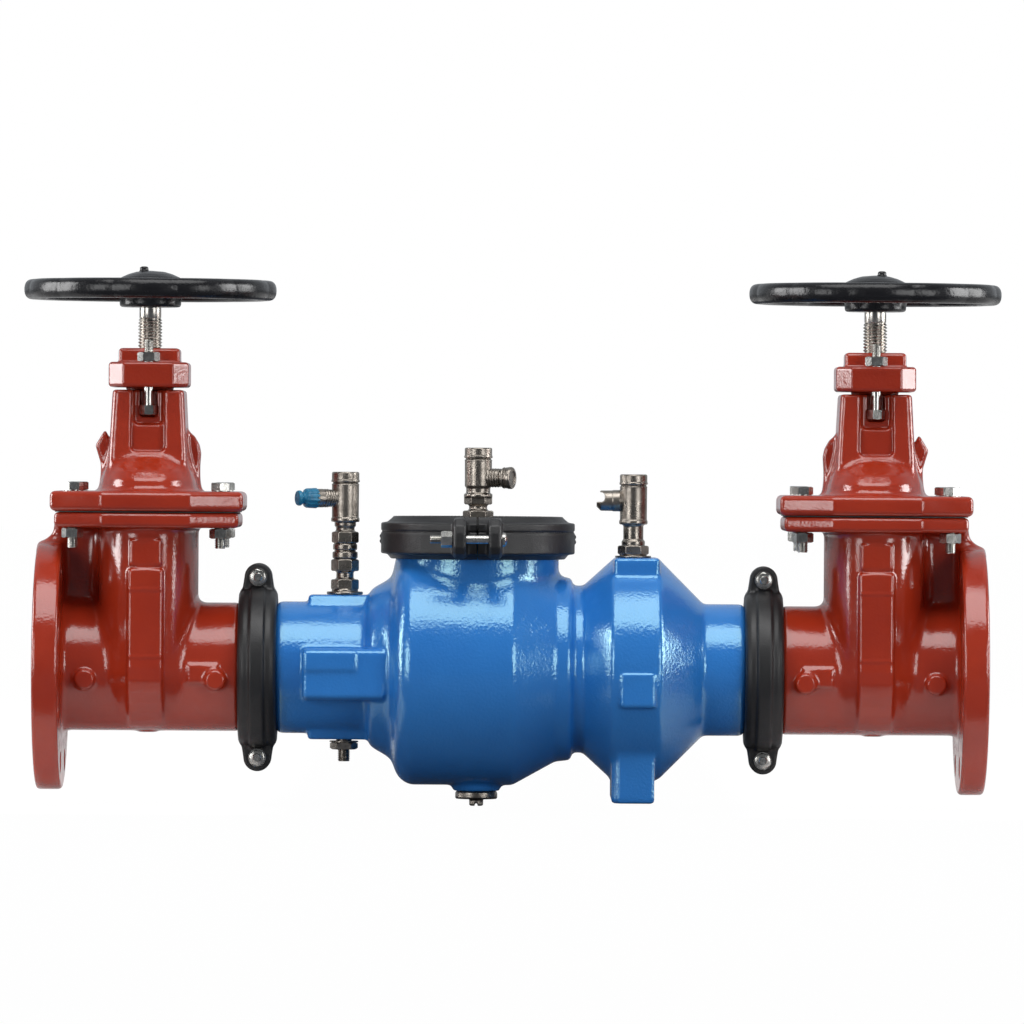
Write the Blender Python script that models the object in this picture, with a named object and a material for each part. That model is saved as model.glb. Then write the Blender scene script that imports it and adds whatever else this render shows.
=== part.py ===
"""Double check valve assembly, DN100.

Two resilient-wedge gate valves, each with a flanged and a grooved end, are joined by
grooved couplings to a body with two spring-loaded check valves, a clamped cover and
three test cocks. The origin is the centre of the inlet flange's face on the pipe axis.
+X is downstream, +Z is up, and -Y is the front, the side of the cover clamp's front bolt.
"""

import math

import bmesh
import bpy
from mathutils import Matrix, Vector

MM = 0.001

# Clearances
SEATED = 0.3 * MM  # between faces that rest on each other
RUNNING = 0.7 * MM  # between round faces that turn or slide
EMBED = 2.0 * MM  # how far fused shapes reach into each other
OVERCUT = 5.0 * MM  # how far a cutter runs past the face it opens

# How round the round pieces are
DISC_SIDES = 24
LARGE_SIDES = 16
MEDIUM_SIDES = 12
SMALL_SIDES = 8
SHANK_SIDES = 6
OVAL_SIDES = 12
SHARP_ANGLE = math.radians(35)

# Pipe line
BORE_RADIUS = 51.0 * MM
RUN_WALL = 8.5 * MM
NIPPLE_WALL = 10.0 * MM
GROOVED_WALL = 6.15 * MM
GROOVE_DEPTH = 2.15 * MM
GROOVE_LAND = 9.0 * MM
GROOVE_WIDTH = 5.6 * MM
PIPE_END_GAP = 3.0 * MM
RUN_RADIUS = BORE_RADIUS + RUN_WALL
NIPPLE_RADIUS = BORE_RADIUS + NIPPLE_WALL
GROOVED_RADIUS = BORE_RADIUS + GROOVED_WALL
GROOVE_RADIUS = GROOVED_RADIUS - GROOVE_DEPTH

# Gate valve: the run and its flange
FLANGE_REACH = 102.5 * MM  # flange face to stem axis
GROOVE_REACH = 102.0 * MM  # stem axis to coupling centre
FLANGE_RADIUS = 114.3 * MM
FLANGE_THICKNESS = 23.8 * MM
FLANGE_BOLT_CIRCLE = 95.25 * MM
FLANGE_HOLE_RADIUS = 9.5 * MM
FLANGE_HOLES = 8
FLANGE_EDGE = 3.0 * MM
FLANGE_FILLET = 7.0 * MM
BOSS_RADIUS = 9.3 * MM
BOSS_RISE = 7.0 * MM
BOSS_DROP = 11.0 * MM
OUTER_BOSS_X = 54.0 * MM
INNER_BOSS_X = 66.0 * MM
GUSSET_THICKNESS = 12.0 * MM

# Gate valve: wedge and the pocket it rises in
WEDGE_SHOULDER = 7.0 * MM  # wedge top above the bore
WEDGE_TOP_HALF = 24.0 * MM
WEDGE_TAPER = math.radians(5)
GUIDE_HALF_X = 9.0 * MM
GUIDE_REACH = 13.0 * MM  # guide lug beyond the bore radius
GUIDE_BOTTOM = 12.0 * MM  # guide lug's foot below the pipe axis
POCKET_MARGIN = 4.0 * MM
POCKET_WALL = 10.0 * MM
BARREL_SIDE = 18.0 * MM  # barrel beyond the pocket, along the pipe
LIFT_MARGIN = 2.0 * MM
PANEL_HALF_X = 16.0 * MM
PANEL_RISE = 3.0 * MM
PANEL_TOP = 73.0 * MM
NAME_PAD_HALF_X = 14.5 * MM
NAME_PAD_LOW = 90.0 * MM
NAME_PAD_HEIGHT = 27.0 * MM
WEDGE_RADIUS = BORE_RADIUS - 1.5 * RUNNING
WEDGE_TOP = BORE_RADIUS + WEDGE_SHOULDER
GATE_LIFT = 2 * BORE_RADIUS + LIFT_MARGIN
GUIDE_HALF_Y = BORE_RADIUS + GUIDE_REACH
POCKET_HALF_X = WEDGE_TOP_HALF + POCKET_MARGIN
POCKET_HALF_Y = BORE_RADIUS + POCKET_MARGIN
SLOT_HALF_X = GUIDE_HALF_X + 2 * RUNNING
SLOT_HALF_Y = GUIDE_HALF_Y + 2 * RUNNING
BARREL_HALF_X = POCKET_HALF_X + BARREL_SIDE
BARREL_HALF_Y = SLOT_HALF_Y + POCKET_WALL

# Gate valve: bonnet joint
BONNET_CAVITY = 23.7 * MM  # pocket height inside the bonnet
BODY_FLANGE_THICKNESS = 13.5 * MM
BONNET_FLANGE_THICKNESS = 17.9 * MM
BONNET_OVERHANG = 4.0 * MM
JOINT_SIDE = 39.0 * MM  # body flange beyond the barrel, along the pipe
JOINT_FRONT = 10.5 * MM  # body flange beyond the barrel, front and rear
JOINT_FACET_HALF = 40.5 * MM
JOINT_CORNER_DROP = 24.0 * MM
BONNET_BOLT_EDGE_X = 17.0 * MM
BONNET_BOLT_EDGE_Y = 29.0 * MM
BONNET_BOLT_RADIUS = 5.0 * MM
BONNET_HOLE_GAP = 1.0 * MM
BONNET_HEAD_FLATS = 16.5 * MM
BONNET_HEAD_HEIGHT = 8.0 * MM
BONNET_NUT_FLATS = 17.5 * MM
BONNET_NUT_HEIGHT = 9.5 * MM
BONNET_BOLT_TAIL = 9.0 * MM
GASKET_SHEET = 1.6 * MM
GASKET_INSET_X = 5.0 * MM
GASKET_INSET_Y = 3.0 * MM
GASKET_WIDTH = 13.0 * MM
CAVITY_TOP = WEDGE_TOP + GATE_LIFT + 2 * LIFT_MARGIN
JOINT_TOP = CAVITY_TOP - BONNET_CAVITY
BODY_FLANGE_HALF_X = BARREL_HALF_X + JOINT_SIDE
BODY_FLANGE_HALF_Y = BARREL_HALF_Y + JOINT_FRONT
BONNET_BOTTOM = JOINT_TOP + GASKET_SHEET + 2 * SEATED
BONNET_FLANGE_TOP = BONNET_BOTTOM + BONNET_FLANGE_THICKNESS
BONNET_BOLT_X = BODY_FLANGE_HALF_X - BONNET_BOLT_EDGE_X
BONNET_BOLT_Y = BODY_FLANGE_HALF_Y - BONNET_BOLT_EDGE_Y

# Gate valve: stem, bonnet tower and bush plate
STEM_RADIUS = 11.0 * MM
STEM_NECK_RADIUS = 8.5 * MM
STEM_HEAD_RADIUS = 15.0 * MM
STEM_HEAD_HEIGHT = 8.0 * MM
STEM_SQUARE = 15.0 * MM
STEM_SHOW = 38.0 * MM  # stem between bush block and wheel hub
THROAT = 12.0 * MM
SEAL_WALL = 3.0 * MM
SEAL_HEIGHT = 10.0 * MM
DOME_RISE = 26.0 * MM  # tower's foot above the cavity
TOWER_HEIGHT = 64.0 * MM
TOWER_HALF_X = 33.0 * MM
TOWER_HALF_Y = 39.0 * MM
TOWER_FLARE = 3.5 * MM
TOWER_CORNER = 7.0 * MM
RECESS_HALF_X = 17.5 * MM
RECESS_DEPTH = 5.0 * MM
RECESS_FOOT = 6.0 * MM
PLATE_GAP = 2.4 * MM
PLATE_THICKNESS = 23.3 * MM
PLATE_HALF_X = 37.0 * MM
PLATE_HALF_Y = 45.0 * MM
PLATE_FACET_HALF = 23.0 * MM
PLATE_SIDE_HALF = 30.0 * MM
PLATE_RIM_RADIUS = 22.0 * MM
SPIGOT_LENGTH = 15.0 * MM
SPIGOT_WALL = 2.2 * MM
BLOCK_HALF_X = 28.4 * MM
BLOCK_HALF_Y = 19.5 * MM
BLOCK_HEIGHT = 13.0 * MM
PLATE_BOLT_RADIUS = 4.5 * MM
PLATE_HEAD_FLATS = 14.0 * MM
PLATE_HEAD_HEIGHT = 8.8 * MM
PLATE_NUT_FLATS = 18.0 * MM
PLATE_NUT_HEIGHT = 9.0 * MM
PLATE_BOLT_TAIL = 11.0 * MM
LEDGE_HEIGHT = 14.0 * MM  # tower top that the plate bolt's head pulls on
HEAD_POCKET_HEIGHT = 20.0 * MM
EAR_HALF_Y = 8.0 * MM
SEAL_FLOOR = CAVITY_TOP + THROAT
TOWER_FOOT = CAVITY_TOP + DOME_RISE
TOWER_TOP = TOWER_FOOT + TOWER_HEIGHT
PLATE_BOTTOM = TOWER_TOP + PLATE_GAP
PLATE_TOP = PLATE_BOTTOM + PLATE_THICKNESS
BLOCK_TOP = PLATE_TOP + BLOCK_HEIGHT
STEM_HOLE_RADIUS = STEM_RADIUS + RUNNING
TOWER_BORE_RADIUS = STEM_HOLE_RADIUS + SPIGOT_WALL + RUNNING
PLATE_BOLT_Y = BLOCK_HALF_Y + PLATE_NUT_FLATS / math.sqrt(3) + 1.0 * MM

# Handwheel
HUB_BOTTOM = BLOCK_TOP + STEM_SHOW
HUB_RADIUS = 28.5 * MM
HUB_HEIGHT = 25.0 * MM
HUB_CAP_HEIGHT = 9.0 * MM
RIM_RADIUS = 108.0 * MM
RIM_HALF_HEIGHT = 9.3 * MM
RIM_HALF_WIDTH = 7.6 * MM
RIM_LOBE = 1.3 * MM
RIM_LOBES = 12
RIM_RISE = 16.0 * MM  # rim's middle above the hub's underside
SPOKES = 5
SPOKE_HALF_WIDTH = 9.0 * MM
SPOKE_HALF_HEIGHT = 5.0 * MM
CAP_SCREW_RADIUS = 4.0 * MM
CAP_SCREW_RISE = 4.0 * MM
CAP_SCREW_OFFSET = 6.0 * MM

# Check body, with its stations measured downstream from the inlet coupling's centre
BODY_LENGTH = 468.0 * MM
INLET_NIPPLE = 95.0 * MM
SHOULDER_LENGTH = 48.0 * MM
CHAMBER_1_RADIUS = 108.0 * MM
CHAMBER_1_LENGTH = 93.0 * MM
TAPER_LENGTH = 41.0 * MM
SEAT_RING_WALL = 23.5 * MM
SEAT_RING_LENGTH = 13.0 * MM
WAIST_DIP = 6.5 * MM
WAIST_LENGTH = 10.0 * MM
CHAMBER_2_RADIUS = 106.0 * MM
CHAMBER_2_LENGTH = 40.0 * MM
CASTING_WALL = 8.0 * MM
CHAMBER_1_START = INLET_NIPPLE + SHOULDER_LENGTH
CHAMBER_1_END = CHAMBER_1_START + CHAMBER_1_LENGTH
SEAT_RING_START = CHAMBER_1_END + TAPER_LENGTH
WAIST_START = SEAT_RING_START + SEAT_RING_LENGTH
CONE_UP_START = WAIST_START + WAIST_LENGTH

# Check modules
FLANGE_SEAT_MARGIN = 10.0 * MM  # module flange beyond the bore
LEG_MARGIN = 4.0 * MM  # module legs' outside beyond the bore
MODULE_FLANGE = 8.0 * MM
SEAT_LIP = 7.0 * MM
POPPET_THICKNESS = 7.0 * MM
POPPET_NOSE = 4.0 * MM
POPPET_STEM_RADIUS = 7.5 * MM
POPPET_TRAVEL = 28.0 * MM
LEG_THICKNESS = 3.6 * MM
LEG_HALF_WIDTH = 8.0 * MM
MODULE_LEGS = 3
MODULE_LENGTH = 70.0 * MM
SPIDER_THICKNESS = 7.0 * MM
SPIDER_HUB_RADIUS = 24.0 * MM
SPIDER_ARM_HALF = 4.0 * MM
SPRING_RADIUS = 18.0 * MM
SPRING_WIRE = 1.9 * MM
SPRING_TURNS = 5
SPRING_STEPS = 6
MODULE_FLANGE_RADIUS = BORE_RADIUS + FLANGE_SEAT_MARGIN
LEG_OUTSIDE = BORE_RADIUS + LEG_MARGIN
LEG_INSIDE = LEG_OUTSIDE - LEG_THICKNESS
POPPET_RADIUS = LEG_INSIDE - 2 * RUNNING
SEAT_BORE_RADIUS = POPPET_RADIUS - SEAT_LIP
SEAT_POCKET_RADIUS = MODULE_FLANGE_RADIUS + RUNNING
SEAT_RING_RADIUS = SEAT_POCKET_RADIUS + SEAT_RING_WALL
WAIST_RADIUS = SEAT_RING_RADIUS - WAIST_DIP
CHAMBER_2_START = CONE_UP_START + CHAMBER_2_RADIUS - WAIST_RADIUS
CHAMBER_2_END = CHAMBER_2_START + CHAMBER_2_LENGTH
CONE_DOWN_END = CHAMBER_2_END + CHAMBER_2_RADIUS - NIPPLE_RADIUS
SEAT_1_FACE = INLET_NIPPLE + 18.0 * MM  # downstream face of the first module's flange
SEAT_2_FACE = WAIST_START - 11.0 * MM

# Pads, foot and bosses on the check body
COCK_1_X = 80.0 * MM
PAD_HALF_X = 28.0 * MM
PAD_HALF_Y = 24.0 * MM
PAD_RISE = 6.5 * MM
FRONT_PAD_START = 46.0 * MM
FRONT_PAD_LENGTH = 74.0 * MM
FRONT_PAD_TOP = 18.0 * MM
FRONT_PAD_BOTTOM = 29.0 * MM
FRONT_PAD_RISE = 6.0 * MM
COCK_3_X = 347.0 * MM
COCK_3_PAD_HALF_X = 21.0 * MM
COCK_3_PAD_HALF_Y = 44.0 * MM
COCK_3_PAD_RISE = 1.5 * MM
TAG_PAD_HALF_X = 16.0 * MM
TAG_PAD_TOP = 2.0 * MM
TAG_PAD_BOTTOM = 33.0 * MM
FOOT_HALF_X = 17.0 * MM
FOOT_HALF_Y = 68.0 * MM
FOOT_HEIGHT = 122.0 * MM
DRAIN_BOSS_RADIUS = 22.0 * MM
DRAIN_BOSS_RISE = 5.5 * MM
DRAIN_RADIUS = 12.0 * MM
DRAIN_DISC_RADIUS = 19.5 * MM
DRAIN_DISC_HEIGHT = 7.0 * MM
DRAIN_TIP_RADIUS = 6.5 * MM
DRAIN_TIP_HEIGHT = 6.5 * MM
TAPPING_RADIUS = 8.0 * MM
TAPPING_DEPTH = 9.0 * MM
PAD_PLUG_FLATS = 22.5 * MM
PAD_PLUG_HEIGHT = 8.0 * MM
PAD_PLUG_TAIL_RADIUS = 5.2 * MM
PAD_PLUG_TAIL = 11.0 * MM

# Neck, cover and clamp
NECK_X = 203.0 * MM
NECK_RADIUS = 75.0 * MM
NECK_WALL = 9.0 * MM
NECK_TOP = 121.0 * MM
RIM_LIP = 8.0 * MM
RIM_THICKNESS = 9.5 * MM
COVER_CROWN_RADIUS = 76.0 * MM
COVER_CROWN = 5.0 * MM
COVER_SPIGOT = 9.0 * MM
COVER_BOSS_RADIUS = 15.5 * MM
COVER_BOSS_HEIGHT = 3.0 * MM
COVER_GASKET_WIDTH = 4.2 * MM
COVER_GASKET_DEPTH = 3.0 * MM
CLAMP_JAW = 9.7 * MM
CLAMP_TOP_JAW = 10.0 * MM
CLAMP_WALL = 8.0 * MM
CLAMP_SHOULDER = 4.5 * MM
CLAMP_SPLIT = 1.5 * MM
LUG_INNER = 10.0 * MM
LUG_THICKNESS = 12.5 * MM
LUG_REACH = 21.0 * MM
CLAMP_BOLT_RADIUS = 4.6 * MM
CLAMP_NUT_FLATS = 15.0 * MM
CLAMP_NUT_HEIGHT = 11.5 * MM
CLAMP_HEAD_HEIGHT = 6.5 * MM
CLAMP_BOLT_TAIL = 9.0 * MM
RIM_RADIUS_OUT = NECK_RADIUS + RIM_LIP
COVER_GASKET_RADIUS = NECK_RADIUS - NECK_WALL / 2
COVER_BOTTOM = NECK_TOP + SEATED
COVER_RIM_TOP = COVER_BOTTOM + RIM_THICKNESS
COVER_TOP = COVER_RIM_TOP + COVER_CROWN
CLAMP_INSIDE = RIM_RADIUS_OUT + RUNNING
CLAMP_RADIUS = CLAMP_INSIDE + CLAMP_WALL
CLAMP_LOW = NECK_TOP - RIM_THICKNESS - SEATED - CLAMP_JAW
CLAMP_HIGH = COVER_RIM_TOP + SEATED + CLAMP_TOP_JAW
CLAMP_BOLT_Z = (CLAMP_LOW + CLAMP_HIGH) / 2 - 1.0 * MM
CLAMP_BOLT_Y = CLAMP_RADIUS + LUG_REACH / 2

# Test cocks
COCK_RADIUS = 13.0 * MM
COCK_BARREL = 37.0 * MM
COCK_RING_RADIUS = 13.6 * MM
COCK_RING = 9.5 * MM
COCK_FOOT_RING = 4.0 * MM
PORT_RADIUS = 8.8 * MM
PORT_BORE_RADIUS = 3.5 * MM
PORT_REACH = 27.0 * MM
PORT_DROP = 24.5 * MM  # port axis below the top
CAPPED_PORT_DROP = 27.9 * MM  # the same on the second cock
PLUG_RADIUS = 8.0 * MM
PLUG_LENGTH = 34.0 * MM
PLUG_RECESS = 1.5 * MM
SLOT_WIDTH = 2.0 * MM
SLOT_DEPTH = 2.5 * MM
CAP_RADIUS = 9.6 * MM
CAP_LENGTH = 20.0 * MM

# Coupling
COUPLING_HALF_WIDTH = 19.0 * MM
COUPLING_WALL = 6.0 * MM
COUPLING_RIB = 2.0 * MM
COUPLING_RIB_HALF = 5.5 * MM
COUPLING_CLEARANCE = 0.8 * MM
COUPLING_SPLIT = 0.4 * MM
GASKET_THICKNESS = 9.3 * MM
GASKET_HALF_WIDTH = 9.9 * MM
COUPLING_EAR_RADIUS = 12.8 * MM
COUPLING_EAR_THICKNESS = 14.0 * MM
COUPLING_BOLT_RADIUS = 5.0 * MM
COUPLING_NUT_FLATS = 16.0 * MM
COUPLING_NUT_HEIGHT = 8.0 * MM
COUPLING_BOLT_TAIL = 3.0 * MM
GASKET_RADIUS = GROOVED_RADIUS + COUPLING_CLEARANCE + GASKET_THICKNESS
HOUSING_RADIUS = GASKET_RADIUS + COUPLING_CLEARANCE + COUPLING_WALL
COUPLING_BOLT_Z = HOUSING_RADIUS + 9.5 * MM

# Places along the pipe
INLET_STEM_X = FLANGE_REACH
INLET_COUPLING_X = INLET_STEM_X + GROOVE_REACH
OUTLET_COUPLING_X = INLET_COUPLING_X + BODY_LENGTH
OUTLET_STEM_X = OUTLET_COUPLING_X + GROOVE_REACH

# Finishes: colour, roughness, metallic
FINISHES = {
    "red_epoxy": ((0.36, 0.035, 0.018), 0.22, 0.0),
    "blue_epoxy": ((0.03, 0.17, 0.50), 0.22, 0.0),
    "black_iron": ((0.012, 0.012, 0.013), 0.45, 0.0),
    "black_enamel": ((0.010, 0.010, 0.012), 0.18, 0.0),
    "nickel_bronze": ((0.42, 0.38, 0.34), 0.32, 1.0),
    "zinc_steel": ((0.62, 0.61, 0.58), 0.35, 1.0),
    "stainless_steel": ((0.55, 0.53, 0.50), 0.28, 1.0),
    "black_rubber": ((0.02, 0.02, 0.02), 0.75, 0.0),
    "grey_polymer": ((0.22, 0.23, 0.24), 0.45, 0.0),
    "spring_steel": ((0.50, 0.50, 0.50), 0.30, 1.0),
    "teal_cap": ((0.01, 0.22, 0.34), 0.35, 0.0),
}


# Shape helpers


def to_object(bm, name="shape"):
    bmesh.ops.recalc_face_normals(bm, faces=bm.faces[:])
    mesh = bpy.data.meshes.new(name)
    bm.to_mesh(mesh)
    bm.free()
    shape = bpy.data.objects.new(name, mesh)
    bpy.context.scene.collection.objects.link(shape)
    return shape


def turned(profile, sides, axis="Z", at=(0, 0, 0)):
    """A closed profile of (radius, height) points, turned about an axis through at."""
    bm = bmesh.new()
    angles = [math.tau * (i + 0.5) / sides for i in range(sides)]
    rings = []
    for radius, height in profile:
        ring = []
        for angle in angles if radius > 0 else ():
            u, v = radius * math.cos(angle), radius * math.sin(angle)
            point = {"X": (height, u, v), "Y": (v, height, u), "Z": (u, v, height)}[axis]
            ring.append(bm.verts.new(Vector(point) + Vector(at)))
        rings.append(ring)
    for lower, upper in zip(rings, rings[1:] + rings[:1]):
        if lower and upper:
            for i in range(sides):
                j = (i + 1) % sides
                bm.faces.new((lower[i], lower[j], upper[j], upper[i]))
        elif lower or upper:
            bm.faces.new(lower or upper)
    return to_object(bm)


def rod(radius, low, high, sides, axis="Z", at=(0, 0, 0), edge=0.0):
    """A round bar between two heights along an axis, with chamfered ends if edge is given."""
    if edge:
        profile = [
            (0, low),
            (radius - edge, low),
            (radius, low + edge),
            (radius, high - edge),
            (radius - edge, high),
            (0, high),
        ]
    else:
        profile = [(0, low), (radius, low), (radius, high), (0, high)]
    return turned(profile, sides, axis, at)


def loft(rings):
    """A closed skin through rings that have as many points each, capped at both ends."""
    bm = bmesh.new()
    loops = [[bm.verts.new(point) for point in ring] for ring in rings]
    for lower, upper in zip(loops, loops[1:]):
        for i in range(len(lower)):
            j = (i + 1) % len(lower)
            bm.faces.new((lower[i], lower[j], upper[j], upper[i]))
    bm.faces.new(loops[0])
    bm.faces.new(loops[-1])
    return to_object(bm)


def prism(outline, low, high, axis="Z", at=(0, 0)):
    """An outline across the axis, moved by at and drawn out from low to high along it."""

    def ring(level):
        points = [(u + at[0], v + at[1]) for u, v in outline]
        if axis == "X":
            return [(level, u, v) for u, v in points]
        if axis == "Y":
            return [(u, level, v) for u, v in points]
        return [(u, v, level) for u, v in points]

    return loft([ring(low), ring(high)])


def box(low, high):
    """A block between two opposite corners."""
    rectangle = [(low[0], low[1]), (high[0], low[1]), (high[0], high[1]), (low[0], high[1])]
    return prism(rectangle, low[2], high[2])


def oval(half_x, half_y, count, power=2.0):
    """A superellipse as an outline: power 2 is an ellipse, more is squarer."""
    points = []
    for i in range(count):
        across = math.cos(math.tau * i / count)
        along = math.sin(math.tau * i / count)
        x = half_x * math.copysign(abs(across) ** (2 / power), across)
        y = half_y * math.copysign(abs(along) ** (2 / power), along)
        points.append((x, y))
    return points


def octagon(half_x, half_y, facet_half, side_half):
    """A rectangle with its corners cut: facet_half and side_half are what its sides keep."""
    quarter = [(half_x, side_half), (facet_half, half_y)]
    mirrored = [(-facet_half, half_y), (-half_x, side_half)]
    upper = quarter + mirrored
    return upper + [(-x, -y) for x, y in upper]


def hexagon(flats, phase=0.0):
    radius = flats / math.sqrt(3)
    angles = [math.tau * i / 6 + phase for i in range(6)]
    return [(radius * math.cos(a), radius * math.sin(a)) for a in angles]


def combine(shape, others, operation):
    """Joins the other shapes to this one, or cuts them from it, and removes them."""
    for other in others:
        modifier = shape.modifiers.new(operation.title(), "BOOLEAN")
        modifier.operation = operation
        modifier.object = other
    graph = bpy.context.evaluated_depsgraph_get()
    result = bpy.data.meshes.new_from_object(shape.evaluated_get(graph))
    shape.modifiers.clear()
    shape.data = result
    for other in others:
        bpy.data.objects.remove(other)
    return shape


def fuse(shape, *others):
    return combine(shape, others, "UNION")


def cut(shape, *others):
    return combine(shape, others, "DIFFERENCE")


def make_finish(name):
    colour, roughness, metallic = FINISHES[name]
    finish = bpy.data.materials.new(name)
    finish.use_nodes = True
    shader = finish.node_tree.nodes["Principled BSDF"]
    shader.inputs["Base Color"].default_value = (*colour, 1.0)
    shader.inputs["Roughness"].default_value = roughness
    shader.inputs["Metallic"].default_value = metallic
    finish.diffuse_color = (*colour, 1.0)
    return finish


def finished(shape, finish_name):
    """Takes a shape's mesh, with its finish and smooth round faces, for one or more pieces."""
    finish = bpy.data.materials.get(finish_name) or make_finish(finish_name)
    mesh = shape.data
    mesh.materials.clear()
    mesh.materials.append(finish)
    mesh.shade_smooth()
    mesh.set_sharp_from_angle(angle=SHARP_ANGLE)
    bpy.data.objects.remove(shape)
    return mesh


def empty(name, location, turn=0.0):
    holder = bpy.data.objects.new(name, None)
    holder.location = location
    holder.rotation_euler.z = turn
    bpy.context.scene.collection.objects.link(holder)
    return holder


def place(name, mesh, parent, location=(0, 0, 0), turn=0.0):
    piece = bpy.data.objects.new(name, mesh)
    piece.parent = parent
    piece.location = location
    piece.rotation_euler.z = turn
    bpy.context.scene.collection.objects.link(piece)
    return piece


# Gate valve pieces: the stem axis is Z, and the flanged end is at -X


def grooved_end(face, inward):
    """(radius, x) points of a grooved pipe end, from its end face inwards."""
    land = face + inward * GROOVE_LAND
    shoulder = land + inward * GROOVE_WIDTH
    foot = face + inward * (COUPLING_HALF_WIDTH + 1.0 * MM)
    return [
        (0, face),
        (GROOVED_RADIUS, face),
        (GROOVED_RADIUS, land),
        (GROOVE_RADIUS, land),
        (GROOVE_RADIUS, shoulder),
        (GROOVED_RADIUS, shoulder),
        (GROOVED_RADIUS, foot),
    ]


def joint_bolt_places():
    return [(x, y) for x in (-BONNET_BOLT_X, BONNET_BOLT_X) for y in (-BONNET_BOLT_Y, BONNET_BOLT_Y)]


def joint_outline(overhang):
    """The bonnet joint's outline: wide facets front and rear, with long cut corners."""
    half_x = BODY_FLANGE_HALF_X + overhang
    half_y = BODY_FLANGE_HALF_Y + overhang / 2
    return octagon(half_x, half_y, JOINT_FACET_HALF, half_y - JOINT_CORNER_DROP)


def joint_holes(low, high):
    radius = BONNET_BOLT_RADIUS + BONNET_HOLE_GAP
    return [rod(radius, low, high, SMALL_SIDES, at=(x, y, 0)) for x, y in joint_bolt_places()]


def pocket(low, high):
    """The space for the wedge and its guide lugs, as two blocks."""
    slot_low = min(low, -GUIDE_BOTTOM - 2 * RUNNING) if low <= 0 else low
    return [
        box((-POCKET_HALF_X, -POCKET_HALF_Y, low), (POCKET_HALF_X, POCKET_HALF_Y, high)),
        box((-SLOT_HALF_X, -SLOT_HALF_Y, slot_low), (SLOT_HALF_X, SLOT_HALF_Y, high)),
    ]


def bonnet_gasket():
    """A flat sheet between the two flanges, cut out round the wedge's pocket."""
    inner_x = POCKET_HALF_X + GASKET_INSET_X
    inner_y = SLOT_HALF_Y + GASKET_INSET_Y
    low = JOINT_TOP + SEATED
    high = low + GASKET_SHEET
    outer = oval(inner_x + GASKET_WIDTH, inner_y + GASKET_WIDTH, OVAL_SIDES, 2.6)
    inner = oval(inner_x, inner_y, OVAL_SIDES, 2.6)
    return cut(prism(outer, low, high), prism(inner, low - OVERCUT, high + OVERCUT))


def u_outline(half_y, depth, top, steps=10):
    """A (y, z) outline with a half-ellipse below the pipe axis and upright sides above it."""
    points = []
    for i in range(steps + 1):
        angle = math.pi + math.pi * i / steps
        points.append((half_y * math.cos(angle), depth * math.sin(angle)))
    return points + [(half_y, top), (-half_y, top)]


def gate_body():
    start = -FLANGE_REACH
    flange_back = start + FLANGE_THICKNESS
    end = GROOVE_REACH - PIPE_END_GAP / 2
    run_profile = grooved_end(end, -1)
    run_profile += [
        (RUN_RADIUS, run_profile[-1][1] - 2.0 * MM),
        (RUN_RADIUS, flange_back + FLANGE_FILLET),
        (RUN_RADIUS + FLANGE_FILLET, flange_back - EMBED),
        (0, flange_back - EMBED),
    ]
    body = turned(run_profile, LARGE_SIDES, "X")
    flange = rod(FLANGE_RADIUS, start, flange_back, DISC_SIDES, "X", edge=FLANGE_EDGE)

    # Barrel: an oval tube with a rounded bottom that vanishes into the run
    depth = RUN_RADIUS - 0.5 * MM
    rings = []
    for degrees in (75, 50, 25, 0):
        angle = math.radians(degrees)
        outline = oval(BARREL_HALF_X * math.cos(angle), BARREL_HALF_Y * math.cos(angle), OVAL_SIDES, 2.2)
        rings.append([(x, y, -depth * math.sin(angle)) for x, y in outline])
    flange_low = JOINT_TOP - BODY_FLANGE_THICKNESS
    rings.append([(x, y, flange_low + EMBED) for x, y, _ in rings[-1]])
    barrel = loft(rings)

    joint_flange = prism(joint_outline(0), flange_low, JOINT_TOP)
    gusset_foot = RUN_RADIUS - 2 * EMBED
    gusset_side = -BARREL_HALF_X + 4 * EMBED
    gusset = prism(
        [
            (flange_back - EMBED, gusset_foot),
            (start + EMBED, FLANGE_RADIUS - 8.0 * MM),
            (-BODY_FLANGE_HALF_X + 1.0 * MM, flange_low + EMBED),
            (gusset_side, flange_low + EMBED),
            (gusset_side, gusset_foot),
        ],
        -GUSSET_THICKNESS / 2,
        GUSSET_THICKNESS / 2,
        "Y",
    )
    panel_half_y = BARREL_HALF_Y + PANEL_RISE
    panel = prism(u_outline(panel_half_y, depth, PANEL_TOP), -PANEL_HALF_X, PANEL_HALF_X, "X")
    name_pad = box(
        (-NAME_PAD_HALF_X, -panel_half_y + 1.0 * MM, NAME_PAD_LOW),
        (NAME_PAD_HALF_X, panel_half_y - 1.0 * MM, NAME_PAD_LOW + NAME_PAD_HEIGHT),
    )
    boss_half = RUN_RADIUS + BOSS_RISE
    bosses = [
        rod(BOSS_RADIUS, -boss_half, boss_half, SMALL_SIDES, "Y", (x, 0, -BOSS_DROP))
        for x in (-OUTER_BOSS_X, INNER_BOSS_X)
    ]
    fuse(body, flange, barrel, joint_flange, gusset, panel, name_pad, *bosses)

    bore = rod(BORE_RADIUS, start - OVERCUT, end + OVERCUT, DISC_SIDES, "X")
    flange_holes = []
    for i in range(FLANGE_HOLES):
        angle = math.tau * (i + 0.5) / FLANGE_HOLES
        centre = (0, FLANGE_BOLT_CIRCLE * math.cos(angle), FLANGE_BOLT_CIRCLE * math.sin(angle))
        low, high = start - OVERCUT, flange_back + OVERCUT
        flange_holes.append(rod(FLANGE_HOLE_RADIUS, low, high, SMALL_SIDES, "X", centre))
    through = joint_holes(flange_low - OVERCUT, JOINT_TOP + OVERCUT)
    return cut(body, bore, *pocket(0, JOINT_TOP + OVERCUT), *flange_holes, *through)


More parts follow.
